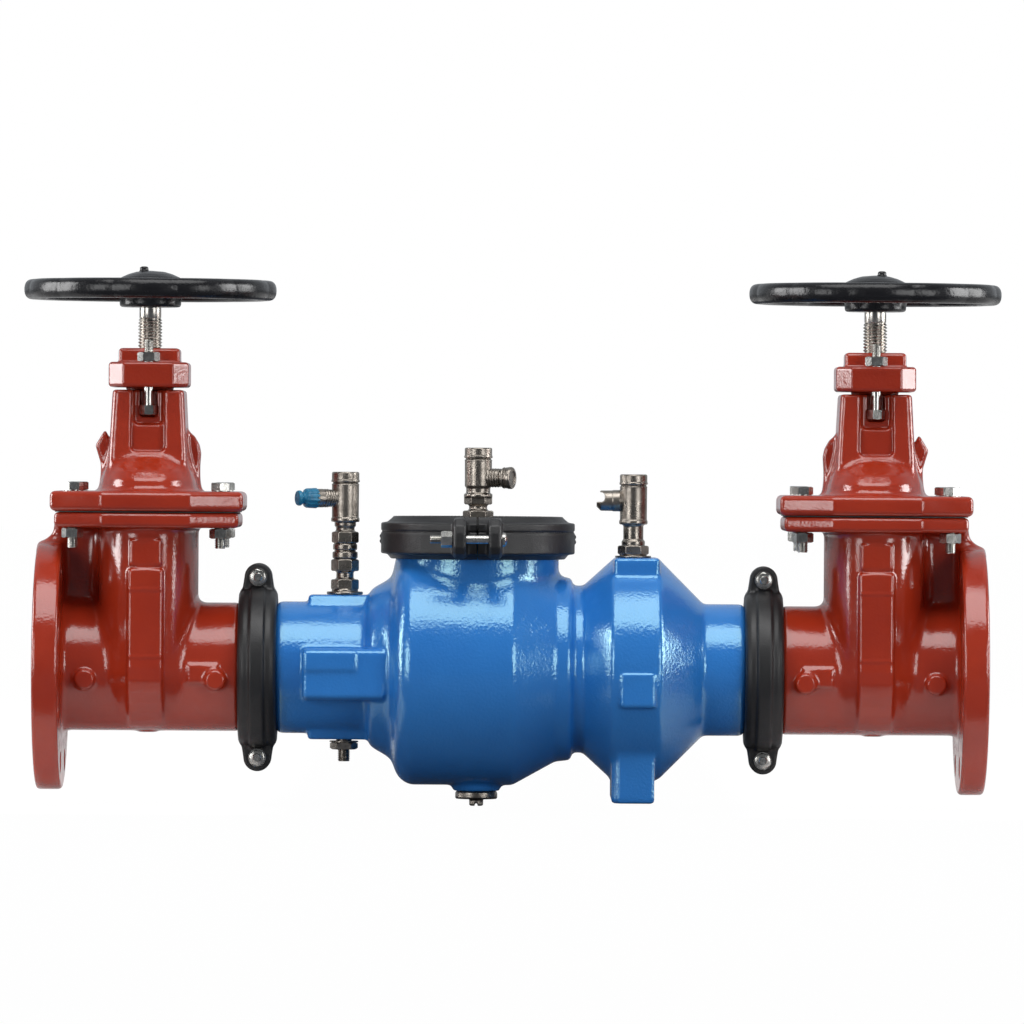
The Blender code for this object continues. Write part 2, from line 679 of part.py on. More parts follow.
def tower_recess(side):
    """Cutters for the recess between the tower's pillars and the slot of a plate bolt."""
    floor = TOWER_HALF_Y - RECESS_DEPTH
    far = TOWER_HALF_Y + 4 * RECESS_DEPTH
    slot_back = PLATE_BOLT_Y - PLATE_HEAD_FLATS / math.sqrt(3) - RUNNING
    head_top = TOWER_TOP - LEDGE_HEIGHT
    shapes = (
        (RECESS_HALF_X, floor, TOWER_FOOT + RECESS_FOOT, TOWER_TOP + OVERCUT),
        (PLATE_HEAD_FLATS / 2 + RUNNING, slot_back, head_top - HEAD_POCKET_HEIGHT, head_top),
        (PLATE_BOLT_RADIUS + RUNNING, slot_back, head_top - EMBED, TOWER_TOP + OVERCUT),
    )
    cutters = []
    for half_x, near, low, high in shapes:
        depths = sorted((side * near, side * far))
        cutters.append(box((-half_x, depths[0], low), (half_x, depths[1], high)))
    return cutters


def bonnet():
    body = prism(joint_outline(BONNET_OVERHANG), BONNET_BOTTOM, BONNET_FLANGE_TOP)
    dome_levels = (
        (BONNET_FLANGE_TOP - EMBED, 1.0, 1.0),
        (CAVITY_TOP + 0.25 * DOME_RISE, 0.97, 0.98),
        (CAVITY_TOP + 0.60 * DOME_RISE, 0.90, 0.88),
        (CAVITY_TOP + 0.85 * DOME_RISE, 0.82, 0.72),
        (TOWER_FOOT + EMBED, 0.74, 0.56),
    )
    dome = loft(
        [
            [(x, y, z) for x, y in oval(BARREL_HALF_X * wide, BARREL_HALF_Y * deep, OVAL_SIDES, 2.4)]
            for z, wide, deep in dome_levels
        ]
    )
    tower_levels = ((TOWER_FOOT - 5 * EMBED, TOWER_FLARE), (TOWER_TOP, 0.0))
    tower_rings = []
    for z, flare in tower_levels:
        half_x, half_y = TOWER_HALF_X + flare, TOWER_HALF_Y + flare
        outline = octagon(half_x, half_y, half_x - TOWER_CORNER, half_y - TOWER_CORNER)
        tower_rings.append([(x, y, z) for x, y in outline])
    tower = loft(tower_rings)

    # Lifting ears: the outer one is hooked and pointed, the inner one is smooth
    root = BONNET_FLANGE_TOP - EMBED
    hook = [
        (-30.0 * MM, root),
        (-46.0 * MM, root),
        (-45.5 * MM, TOWER_FOOT - 8.0 * MM),
        (-50.0 * MM, TOWER_FOOT + 12.0 * MM),
        (-41.0 * MM, TOWER_FOOT + 27.0 * MM),
        (-37.0 * MM, TOWER_FOOT + 21.0 * MM),
        (-36.0 * MM, TOWER_FOOT - 4.0 * MM),
        (-28.0 * MM, TOWER_FOOT - 4.0 * MM),
    ]
    lug = [
        (28.0 * MM, root),
        (28.0 * MM, TOWER_FOOT + 27.0 * MM),
        (36.0 * MM, TOWER_FOOT + 27.0 * MM),
        (48.0 * MM, TOWER_FOOT + 12.0 * MM),
        (48.0 * MM, root),
    ]
    hook_ear = prism(hook, -EAR_HALF_Y, EAR_HALF_Y, "Y")
    lug_ear = prism(lug, -EAR_HALF_Y, EAR_HALF_Y, "Y")
    fuse(body, dome, tower, hook_ear, lug_ear)

    throat = rod(STEM_HOLE_RADIUS, CAVITY_TOP - OVERCUT, TOWER_TOP, MEDIUM_SIDES)
    tower_bore = rod(TOWER_BORE_RADIUS, SEAL_FLOOR, TOWER_TOP + OVERCUT, MEDIUM_SIDES)
    holes = joint_holes(BONNET_BOTTOM - OVERCUT, BONNET_FLANGE_TOP + OVERCUT)
    recesses = tower_recess(-1) + tower_recess(1)
    return cut(body, *pocket(BONNET_BOTTOM - OVERCUT, CAVITY_TOP), throat, tower_bore, *holes, *recesses)


def bush_plate():
    plate = prism(octagon(PLATE_HALF_X, PLATE_HALF_Y, PLATE_FACET_HALF, PLATE_SIDE_HALF), PLATE_BOTTOM, PLATE_TOP)
    block = box((-BLOCK_HALF_X, -BLOCK_HALF_Y, PLATE_TOP - EMBED), (BLOCK_HALF_X, BLOCK_HALF_Y, BLOCK_TOP))
    rim = rod(PLATE_RIM_RADIUS, TOWER_TOP + SEATED, PLATE_BOTTOM + EMBED, MEDIUM_SIDES)
    spigot = rod(TOWER_BORE_RADIUS - RUNNING, TOWER_TOP - SPIGOT_LENGTH, PLATE_BOTTOM + EMBED, MEDIUM_SIDES)
    fuse(plate, block, rim, spigot)
    bore = rod(STEM_HOLE_RADIUS, TOWER_TOP - SPIGOT_LENGTH - OVERCUT, BLOCK_TOP + OVERCUT, MEDIUM_SIDES)
    bolt_holes = [
        rod(PLATE_BOLT_RADIUS + RUNNING, PLATE_BOTTOM - OVERCUT, PLATE_TOP + OVERCUT, SMALL_SIDES, at=(0, y, 0))
        for y in (-PLATE_BOLT_Y, PLATE_BOLT_Y)
    ]
    return cut(plate, bore, *bolt_holes)


def stem_seal():
    outer = rod(TOWER_BORE_RADIUS - SEATED, SEAL_FLOOR + SEATED, SEAL_FLOOR + SEAL_HEIGHT, MEDIUM_SIDES)
    return cut(outer, rod(STEM_HOLE_RADIUS, SEAL_FLOOR - OVERCUT, SEAL_FLOOR + SEAL_HEIGHT + OVERCUT, MEDIUM_SIDES))


def stem():
    head_low = WEDGE_TOP - 2 * STEM_HEAD_HEIGHT
    head_high = head_low + STEM_HEAD_HEIGHT
    shoulder = WEDGE_TOP + 2 * SEATED
    square_low = HUB_BOTTOM - SEATED
    shaft = turned(
        [
            (0, head_low),
            (STEM_HEAD_RADIUS - 1.0 * MM, head_low),
            (STEM_HEAD_RADIUS, head_low + 1.0 * MM),
            (STEM_HEAD_RADIUS, head_high),
            (STEM_NECK_RADIUS, head_high),
            (STEM_NECK_RADIUS, shoulder),
            (STEM_RADIUS, shoulder),
            (STEM_RADIUS, square_low),
            (0, square_low),
        ],
        MEDIUM_SIDES,
    )
    half = STEM_SQUARE / 2
    return fuse(shaft, box((-half, -half, square_low - EMBED), (half, half, HUB_BOTTOM + HUB_HEIGHT - EMBED)))


def wedge():
    def half_thickness(z):
        return WEDGE_TOP_HALF - (WEDGE_TOP - z) * math.tan(WEDGE_TAPER)

    outline = u_outline(WEDGE_RADIUS, WEDGE_RADIUS, WEDGE_TOP, 16)
    front = [(half_thickness(z), y, z) for y, z in outline]
    disc = loft([[(-x, y, z) for x, y, z in front], front])
    guides = box((-GUIDE_HALF_X, -GUIDE_HALF_Y, -GUIDE_BOTTOM), (GUIDE_HALF_X, GUIDE_HALF_Y, WEDGE_TOP - 8.0 * MM))
    fuse(disc, guides)
    head_low = WEDGE_TOP - 2 * STEM_HEAD_HEIGHT
    far = WEDGE_TOP_HALF + OVERCUT
    head_half = STEM_HEAD_RADIUS + RUNNING
    neck_half = STEM_NECK_RADIUS + RUNNING
    head_slot = box((-far, -head_half, head_low - SEATED), (far, head_half, head_low + STEM_HEAD_HEIGHT + SEATED))
    neck_slot = box((-far, -neck_half, head_low), (far, neck_half, WEDGE_TOP + OVERCUT))
    return cut(disc, head_slot, neck_slot)


def handwheel():
    top = HUB_BOTTOM + HUB_HEIGHT
    rim_middle = HUB_BOTTOM + RIM_RISE
    hub = turned(
        [
            (0, HUB_BOTTOM),
            (HUB_RADIUS, HUB_BOTTOM),
            (HUB_RADIUS, HUB_BOTTOM + 0.45 * HUB_HEIGHT),
            (HUB_RADIUS - 3.0 * MM, HUB_BOTTOM + 0.6 * HUB_HEIGHT),
            (HUB_RADIUS, top - 0.5 * MM),
            (HUB_RADIUS, top + 1.0 * MM),
            (0.72 * HUB_RADIUS, top + 0.6 * HUB_CAP_HEIGHT),
            (0.35 * HUB_RADIUS, top + HUB_CAP_HEIGHT),
            (0, top + HUB_CAP_HEIGHT),
        ],
        MEDIUM_SIDES,
    )
    # Rim: an oval section swept round, swelling into finger lobes
    bm = bmesh.new()
    steps = 2 * RIM_LOBES
    section = oval(RIM_HALF_WIDTH, RIM_HALF_HEIGHT, 6)
    loops = []
    for i in range(steps):
        angle = math.tau * i / steps
        radius = RIM_RADIUS + RIM_LOBE * math.cos(RIM_LOBES * angle)
        outward = Vector((math.cos(angle), math.sin(angle), 0))
        loops.append([bm.verts.new(outward * (radius + u) + Vector((0, 0, rim_middle + v))) for u, v in section])
    for i in range(steps):
        here, ahead = loops[i], loops[(i + 1) % steps]
        for k in range(len(section)):
            j = (k + 1) % len(section)
            bm.faces.new((here[k], here[j], ahead[j], ahead[k]))
    rim = to_object(bm)
    spokes = []
    for i in range(SPOKES):
        angle = math.tau * (i + 0.27) / SPOKES
        reach = ((0.5 * HUB_RADIUS, 1.0, -2.0 * MM), (RIM_RADIUS, 0.8, 0.0))
        rings = []
        for radius, width, dip in reach:
            ring = []
            for u, v in oval(SPOKE_HALF_WIDTH * width, SPOKE_HALF_HEIGHT, 6):
                x = radius * math.cos(angle) - u * math.sin(angle)
                y = radius * math.sin(angle) + u * math.cos(angle)
                ring.append((x, y, rim_middle + dip + v))
            rings.append(ring)
        spokes.append(loft(rings))
    screw = rod(
        CAP_SCREW_RADIUS, top, top + HUB_CAP_HEIGHT + CAP_SCREW_RISE, 8, at=(-CAP_SCREW_OFFSET, 0, 0), edge=1.5 * MM
    )
    fuse(hub, rim, *spokes, screw)
    half = STEM_SQUARE / 2 + SEATED
    return cut(hub, box((-half, -half, HUB_BOTTOM - OVERCUT), (half, half, HUB_BOTTOM + HUB_HEIGHT)))


def bonnet_bolt():
    """Head up, along Z, on its own axis."""
    head_low = BONNET_FLANGE_TOP + SEATED
    nut_high = JOINT_TOP - BODY_FLANGE_THICKNESS - SEATED
    nut_low = nut_high - BONNET_NUT_HEIGHT
    shank = rod(BONNET_BOLT_RADIUS, nut_low - BONNET_BOLT_TAIL, head_low + EMBED, SHANK_SIDES)
    head = prism(hexagon(BONNET_HEAD_FLATS), head_low, head_low + BONNET_HEAD_HEIGHT)
    return fuse(head, shank, prism(hexagon(BONNET_NUT_FLATS), nut_low, nut_high))


def plate_bolt():
    """Head down in the tower's slot, along Z, on its own axis."""
    head_high = TOWER_TOP - LEDGE_HEIGHT - SEATED
    nut_low = PLATE_TOP + SEATED
    nut_high = nut_low + PLATE_NUT_HEIGHT
    shank = rod(PLATE_BOLT_RADIUS, head_high - EMBED, nut_high + PLATE_BOLT_TAIL, SHANK_SIDES)
    head = prism(hexagon(PLATE_HEAD_FLATS, math.pi / 6), head_high - PLATE_HEAD_HEIGHT, head_high)
    return fuse(head, shank, prism(hexagon(PLATE_NUT_FLATS, math.pi / 6), nut_low, nut_high))


def build_gate_valves():
    meshes = {
        "gate_body": finished(gate_body(), "red_epoxy"),
        "bonnet": finished(bonnet(), "red_epoxy"),
        "bonnet_gasket": finished(bonnet_gasket(), "black_rubber"),
        "bush_plate": finished(bush_plate(), "red_epoxy"),
        "stem_seal": finished(stem_seal(), "black_rubber"),
        "stem": finished(stem(), "stainless_steel"),
        "wedge": finished(wedge(), "black_rubber"),
        "handwheel": finished(handwheel(), "black_enamel"),
    }
    joint_bolt = finished(bonnet_bolt(), "zinc_steel")
    gland_bolt = finished(plate_bolt(), "zinc_steel")
    # The outlet valve is the same valve turned round, so that its flange is outermost
    for side, stem_x, turn in (("inlet", INLET_STEM_X, 0.0), ("outlet", OUTLET_STEM_X, math.pi)):
        valve = empty(f"{side}_gate_valve", (stem_x, 0, 0), turn)
        for name, mesh in meshes.items():
            place(f"{side}_{name}", mesh, valve)
        for i, (x, y) in enumerate(joint_bolt_places()):
            place(f"{side}_bonnet_bolt_{i + 1}", joint_bolt, valve, (x, y, 0))
        place(f"{side}_plate_bolt_front", gland_bolt, valve, (0, -PLATE_BOLT_Y * math.cos(turn), 0))
        place(f"{side}_plate_bolt_rear", gland_bolt, valve, (0, PLATE_BOLT_Y * math.cos(turn), 0))


# Check body: its own origin is the inlet coupling's centre


def tapping(x, low, high):
    return rod(TAPPING_RADIUS, low, high, MEDIUM_SIDES, at=(x, 0, 0))


def check_body():
    start = PIPE_END_GAP / 2
    end = BODY_LENGTH - PIPE_END_GAP / 2
    rise = CHAMBER_1_RADIUS - NIPPLE_RADIUS
    # The shoulder climbs in steps from the inlet nipple to the first chamber
    shoulder = [(0.0, 0.0), (0.15, 0.27), (0.42, 0.44), (0.62, 0.68), (0.8, 0.93), (1.0, 1.0)]
    profile = grooved_end(start, 1)
    profile.append((NIPPLE_RADIUS, profile[-1][1] + 2.0 * MM))
    profile += [(NIPPLE_RADIUS + rise * up, INLET_NIPPLE + SHOULDER_LENGTH * along) for along, up in shoulder]
    profile += [
        (CHAMBER_1_RADIUS, CHAMBER_1_END),
        (SEAT_RING_RADIUS, SEAT_RING_START),
        (SEAT_RING_RADIUS, WAIST_START),
        (WAIST_RADIUS, WAIST_START + 0.2 * WAIST_LENGTH),
        (WAIST_RADIUS, CONE_UP_START),
        (CHAMBER_2_RADIUS, CHAMBER_2_START),
        (CHAMBER_2_RADIUS, CHAMBER_2_END),
        (NIPPLE_RADIUS, CONE_DOWN_END),
    ]
    far_end = grooved_end(end, -1)
    profile.append((NIPPLE_RADIUS, far_end[-1][1] - 2.0 * MM))
    profile += reversed(far_end)
    body = turned(profile, LARGE_SIDES, "X")

    rim_low = NECK_TOP - RIM_THICKNESS
    groove_outside = COVER_GASKET_RADIUS + COVER_GASKET_WIDTH / 2 + SEATED
    groove_inside = COVER_GASKET_RADIUS - COVER_GASKET_WIDTH / 2 - SEATED
    neck = turned(
        [
            (0, 0.2 * CHAMBER_1_RADIUS),
            (NECK_RADIUS, 0.2 * CHAMBER_1_RADIUS),
            (NECK_RADIUS, rim_low),
            (RIM_RADIUS_OUT, rim_low),
            (RIM_RADIUS_OUT, NECK_TOP),
            (groove_outside, NECK_TOP),
            (groove_outside, NECK_TOP - COVER_GASKET_DEPTH),
            (groove_inside, NECK_TOP - COVER_GASKET_DEPTH),
            (groove_inside, NECK_TOP),
            (0, NECK_TOP),
        ],
        LARGE_SIDES,
        at=(NECK_X, 0, 0),
    )
    cock_pad_top = NIPPLE_RADIUS + PAD_RISE
    cock_pad = box(
        (COCK_1_X - PAD_HALF_X, -PAD_HALF_Y, -cock_pad_top),
        (COCK_1_X + PAD_HALF_X, PAD_HALF_Y, cock_pad_top),
    )
    front_pad = box(
        (FRONT_PAD_START, -NIPPLE_RADIUS - FRONT_PAD_RISE, -FRONT_PAD_BOTTOM),
        (FRONT_PAD_START + FRONT_PAD_LENGTH, 0, FRONT_PAD_TOP),
    )
    cock_3_pad = box(
        (COCK_3_X - COCK_3_PAD_HALF_X, -COCK_3_PAD_HALF_Y, 0),
        (COCK_3_X + COCK_3_PAD_HALF_X, COCK_3_PAD_HALF_Y, CHAMBER_2_RADIUS + COCK_3_PAD_RISE),
    )
    tag_pad = box(
        (COCK_3_X - TAG_PAD_HALF_X, -CHAMBER_2_RADIUS - COCK_3_PAD_RISE, -TAG_PAD_BOTTOM),
        (COCK_3_X + TAG_PAD_HALF_X, 0, -TAG_PAD_TOP),
    )
    foot = box(
        (COCK_3_X - FOOT_HALF_X, -FOOT_HALF_Y, -FOOT_HEIGHT),
        (COCK_3_X + FOOT_HALF_X, FOOT_HALF_Y, 0),
    )
    drain_face = -CHAMBER_1_RADIUS - DRAIN_BOSS_RISE
    drain_boss = rod(DRAIN_BOSS_RADIUS, drain_face, -0.5 * CHAMBER_1_RADIUS, MEDIUM_SIDES, at=(NECK_X, 0, 0))
    fuse(body, neck, cock_pad, front_pad, cock_3_pad, tag_pad, foot, drain_boss)

    # The waterway: bores, seat pockets and the two chambers, as one turned core
    inner_1 = CHAMBER_1_RADIUS - CASTING_WALL
    inner_2 = CHAMBER_2_RADIUS - CASTING_WALL
    leg_way = LEG_OUTSIDE + 4 * RUNNING
    seat_1_back = SEAT_1_FACE - MODULE_FLANGE - SEATED
    seat_2_back = SEAT_2_FACE - MODULE_FLANGE - 4.0 * MM
    core = turned(
        [
            (0, start - OVERCUT),
            (BORE_RADIUS, start - OVERCUT),
            (BORE_RADIUS, seat_1_back),
            (SEAT_POCKET_RADIUS, seat_1_back),
            (SEAT_POCKET_RADIUS, SEAT_1_FACE + 1.0 * MM),
            (inner_1, CHAMBER_1_START - 1.0 * MM),
            (inner_1, CHAMBER_1_END - 4.0 * MM),
            (SEAT_POCKET_RADIUS, seat_2_back),
            (SEAT_POCKET_RADIUS, SEAT_2_FACE + SEATED),
            (leg_way, SEAT_2_FACE + SEATED),
            (leg_way, CONE_UP_START),
            (inner_2, CHAMBER_2_START + 3.0 * MM),
            (inner_2, CHAMBER_2_END - 3.0 * MM),
            (BORE_RADIUS, CONE_DOWN_END - 1.0 * MM),
            (BORE_RADIUS, end + OVERCUT),
            (0, end + OVERCUT),
        ],
        MEDIUM_SIDES,
        "X",
    )
    neck_bore = rod(NECK_RADIUS - NECK_WALL, 0.4 * CHAMBER_1_RADIUS, NECK_TOP + OVERCUT, LARGE_SIDES, at=(NECK_X, 0, 0))
    holes = [
        tapping(COCK_1_X, 0, cock_pad_top + OVERCUT),
        tapping(COCK_1_X, -cock_pad_top - OVERCUT, 0),
        tapping(COCK_3_X, 0, CHAMBER_2_RADIUS + COCK_3_PAD_RISE + OVERCUT),
        rod(DRAIN_RADIUS + RUNNING, drain_face - OVERCUT, -0.5 * inner_1, MEDIUM_SIDES, at=(NECK_X, 0, 0)),
    ]
    return cut(body, core, neck_bore, *holes)


def cover_gasket():
    inside = COVER_GASKET_RADIUS - COVER_GASKET_WIDTH / 2
    outside = COVER_GASKET_RADIUS + COVER_GASKET_WIDTH / 2
    low = NECK_TOP - COVER_GASKET_DEPTH + SEATED
    return turned([(inside, low), (outside, low), (outside, NECK_TOP), (inside, NECK_TOP)], LARGE_SIDES)


def cover():
    spigot_radius = NECK_RADIUS - NECK_WALL - RUNNING
    boss_top = COVER_TOP + COVER_BOSS_HEIGHT
    lid = turned(
        [
            (0, COVER_BOTTOM - COVER_SPIGOT),
            (spigot_radius, COVER_BOTTOM - COVER_SPIGOT),
            (spigot_radius, COVER_BOTTOM),
            (RIM_RADIUS_OUT, COVER_BOTTOM),
            (RIM_RADIUS_OUT, COVER_RIM_TOP),
            (COVER_CROWN_RADIUS, COVER_RIM_TOP),
            (COVER_CROWN_RADIUS - 3.0 * MM, COVER_TOP),
            (COVER_BOSS_RADIUS + 2.0 * MM, COVER_TOP),
            (COVER_BOSS_RADIUS, boss_top),
            (0, boss_top),
        ],
        LARGE_SIDES,
    )
    return cut(lid, tapping(0, COVER_BOTTOM - COVER_SPIGOT - OVERCUT, boss_top + OVERCUT))


def clamp_half():
    """The left half: a jaw ring cut in two, with a bolt lug at the front and at the rear."""
    crown_inside = COVER_CROWN_RADIUS + RUNNING
    neck_inside = NECK_RADIUS + RUNNING
    rims_low = NECK_TOP - RIM_THICKNESS - SEATED
    rims_high = COVER_RIM_TOP + SEATED
    ring = turned(
        [
            (neck_inside, CLAMP_LOW),
            (neck_inside + 0.45 * CLAMP_WALL, CLAMP_LOW),
            (CLAMP_RADIUS, CLAMP_LOW + CLAMP_SHOULDER),
            (CLAMP_RADIUS, CLAMP_HIGH - 2.4 * CLAMP_SHOULDER),
            (CLAMP_RADIUS - 8.0 * MM, CLAMP_HIGH - 2.0 * MM),
            (CLAMP_RADIUS - 10.5 * MM, CLAMP_HIGH),
            (crown_inside, CLAMP_HIGH),
            (crown_inside, rims_high),
            (CLAMP_INSIDE, rims_high),
            (CLAMP_INSIDE, rims_low),
            (neck_inside, rims_low),
        ],
        LARGE_SIDES,
    )
    lug_near = CLAMP_RADIUS - 0.6 * CLAMP_WALL
    lug_far = CLAMP_RADIUS + LUG_REACH
    lugs = []
    for side in (-1, 1):
        outline = [
            (side * lug_near, CLAMP_LOW + 2.0 * MM),
            (side * (lug_far - 6.0 * MM), CLAMP_LOW + 2.0 * MM),
            (side * lug_far, CLAMP_LOW + 10.0 * MM),
            (side * lug_far, CLAMP_HIGH - 14.0 * MM),
            (side * (lug_far - 8.0 * MM), CLAMP_HIGH - 1.0 * MM),
            (side * lug_near, CLAMP_HIGH - 1.0 * MM),
        ]
        lugs.append(prism(outline, -LUG_INNER - LUG_THICKNESS, -LUG_INNER, "X"))
    fuse(ring, *lugs)
    away = 2 * CLAMP_RADIUS
    other_half = box((-CLAMP_SPLIT, -away, 0), (away, away, 2 * CLAMP_HIGH))
    bolt_holes = [
        rod(CLAMP_BOLT_RADIUS + RUNNING, -away, away, SMALL_SIDES, "X", (0, y, CLAMP_BOLT_Z))
        for y in (-CLAMP_BOLT_Y, CLAMP_BOLT_Y)
    ]
    return cut(ring, other_half, *bolt_holes)


def clamp_bolt():
    """Along X on its own axis, with its nut on the left."""
    outside = LUG_INNER + LUG_THICKNESS + SEATED
    nut_far = -outside - CLAMP_NUT_HEIGHT
    shank = rod(CLAMP_BOLT_RADIUS, nut_far - CLAMP_BOLT_TAIL, outside + EMBED, SHANK_SIDES, "X")
    head = prism(hexagon(CLAMP_NUT_FLATS), outside, outside + CLAMP_HEAD_HEIGHT, "X")
    return fuse(head, shank, prism(hexagon(CLAMP_NUT_FLATS), nut_far, -outside, "X"))


def check_cage():
    """Seat flange, legs and guide hub in one moulding. The seat's face is at x = 0."""
    flange = turned(
        [
            (SEAT_BORE_RADIUS, -MODULE_FLANGE),
            (MODULE_FLANGE_RADIUS, -MODULE_FLANGE),
            (MODULE_FLANGE_RADIUS, 0),
            (SEAT_BORE_RADIUS, 0),
        ],
        MEDIUM_SIDES,
        "X",
    )
    spider_low = MODULE_LENGTH - SPIDER_THICKNESS
    legs = []
    star = []
    for i in range(MODULE_LEGS):
        angle = math.tau * i / MODULE_LEGS
        leg = box((-EMBED, -LEG_HALF_WIDTH, LEG_INSIDE), (MODULE_LENGTH, LEG_HALF_WIDTH, LEG_OUTSIDE))
        leg.data.transform(Matrix.Rotation(angle, 4, "X"))
        legs.append(leg)
        # An arm of the spider: narrow where it meets the leg, with the hub's edge between arms
        for across, out in ((-SPIDER_ARM_HALF, LEG_INSIDE + EMBED), (SPIDER_ARM_HALF, LEG_INSIDE + EMBED)):
            star.append((-across * math.cos(angle) - out * math.sin(angle), out * math.cos(angle) - across * math.sin(angle)))
        between = angle + math.pi / MODULE_LEGS
        star.append((-SPIDER_HUB_RADIUS * math.sin(between), SPIDER_HUB_RADIUS * math.cos(between)))
    spider = prism(star, spider_low, MODULE_LENGTH, "X")
    fuse(flange, spider, *legs)
    guide = rod(POPPET_STEM_RADIUS + RUNNING, spider_low - OVERCUT, MODULE_LENGTH + OVERCUT, MEDIUM_SIDES, "X")
    return cut(flange, guide)


def check_poppet():
    """Disc with a nose in the seat and a stem in the guide hub."""
    back = SEATED + POPPET_THICKNESS
    nose_radius = SEAT_BORE_RADIUS - 2 * RUNNING
    return turned(
        [
            (0, SEATED - POPPET_NOSE),
            (nose_radius - POPPET_NOSE, SEATED - POPPET_NOSE),
            (nose_radius, SEATED),
            (POPPET_RADIUS, SEATED),
            (POPPET_RADIUS, back - 2.0 * MM),
            (POPPET_RADIUS - 3.0 * MM, back),
            (2 * POPPET_STEM_RADIUS, back),
            (POPPET_STEM_RADIUS, back + 3.0 * MM),
            (POPPET_STEM_RADIUS, MODULE_LENGTH + 8.0 * MM),
            (0, MODULE_LENGTH + 8.0 * MM),
        ],
        MEDIUM_SIDES,
        "X",
    )


def check_spring():
    """A round-wire coil between the poppet's back and the guide hub."""
    low = SEATED + POPPET_THICKNESS + SEATED + SPRING_WIRE
    high = MODULE_LENGTH - SPIDER_THICKNESS - SEATED - SPRING_WIRE
    count = SPRING_TURNS * SPRING_STEPS
    rings = []
    for i in range(count + 1):
        angle = math.tau * i / SPRING_STEPS
        outward = Vector((0, math.cos(angle), math.sin(angle)))
        centre = outward * SPRING_RADIUS + Vector((low + (high - low) * i / count, 0, 0))
        ring = []
        for u, v in oval(SPRING_WIRE, SPRING_WIRE, 4):
            ring.append(centre + outward * u + Vector((v, 0, 0)))
        rings.append(ring)
    return loft(rings)


# Test cocks: each one's axis is Z, and z = 0 is the face that it stands on


def cock_body(stack, port_side, port_radius, port_drop, extra):
    """stack lists (kind, half width, height) from the face up, below the common barrel."""
    z = SEATED
    shapes = [rod(TAPPING_RADIUS - RUNNING, -TAPPING_DEPTH, z + EMBED, MEDIUM_SIDES)]
    for kind, size, height in stack:
        if kind == "hexagon":
            shapes.append(prism(hexagon(2 * size, math.pi / 6), z, z + height))
        else:
            shapes.append(rod(size, z - 0.5 * MM if z > SEATED else z, z + height + 0.5 * MM, MEDIUM_SIDES))
        z += height
    top = z + COCK_BARREL + COCK_RING
    barrel = turned(
        [
            (0, z),
            (COCK_RING_RADIUS, z),
            (COCK_RING_RADIUS, z + COCK_FOOT_RING),
            (COCK_RADIUS - 0.6 * MM, z + COCK_FOOT_RING + 1.0 * MM),
            (COCK_RADIUS - 0.6 * MM, top - COCK_RING - 1.5 * MM),
            (COCK_RING_RADIUS, top - COCK_RING),
            (COCK_RING_RADIUS, top - 1.0 * MM),
            (COCK_RING_RADIUS - 1.0 * MM, top),
            (0, top),
        ],
        MEDIUM_SIDES,
    )
    port_z = top - port_drop
    reach = port_side * PORT_REACH
    port = rod(port_radius, min(0, reach), max(0, reach), MEDIUM_SIDES, "X", (0, 0, port_z))
    body = fuse(barrel, port, *shapes)
    if extra:
        fuse(body, *extra(port_z, reach))
    plug_bore = rod(PLUG_RADIUS + RUNNING, top - PLUG_RECESS - PLUG_LENGTH, top + OVERCUT, MEDIUM_SIDES)
    feed = rod(PORT_BORE_RADIUS, -TAPPING_DEPTH - OVERCUT, top - PLUG_LENGTH, SMALL_SIDES)
    far = reach + port_side * OVERCUT
    outlet = rod(PORT_BORE_RADIUS, min(0, far), max(0, far), SMALL_SIDES, "X", (0, 0, port_z))
    cut(body, plug_bore, feed, outlet)
    return body, top, port_z


def cock_plug(port_z, top):
    """The quarter-turn plug, closed: its side hole faces across the outlet, its slot likewise."""
    high = top - PLUG_RECESS
    low = high - PLUG_LENGTH + SEATED
    plug = rod(PLUG_RADIUS, low, high, MEDIUM_SIDES)
    down = rod(PORT_BORE_RADIUS, low - OVERCUT, port_z, SMALL_SIDES)
    across = rod(PORT_BORE_RADIUS, -2 * PLUG_RADIUS, 0, SMALL_SIDES, "Y", (0, 0, port_z))
    far = 2 * PLUG_RADIUS
    slot = box((-SLOT_WIDTH / 2, -far, high - SLOT_DEPTH), (SLOT_WIDTH / 2, far, high + OVERCUT))
    return cut(plug, down, across, slot)


def metal_cap(port_z, reach):
    """The second cock's screwed cap, made with the body that carries it."""
    cap_end = reach + math.copysign(8.0 * MM, reach)
    return [rod(CAP_RADIUS + 1.0 * MM, min(reach, cap_end), max(reach, cap_end), MEDIUM_SIDES, "X", (0, 0, port_z))]


def fork_end(port_z, reach):
    """The third cock's open end: a collar with a slot cut across its mouth by its two prongs."""
    tip = reach - math.copysign(1.0 * MM, reach)
    far = reach + math.copysign(8.0 * MM, reach)
    prongs = []
    for side in (-1, 1):
        low = port_z + side * 8.0 * MM - 2.0 * MM
        prongs.append(box((min(tip, far), -4.0 * MM, low), (max(tip, far), 4.0 * MM, low + 4.0 * MM)))
    return prongs


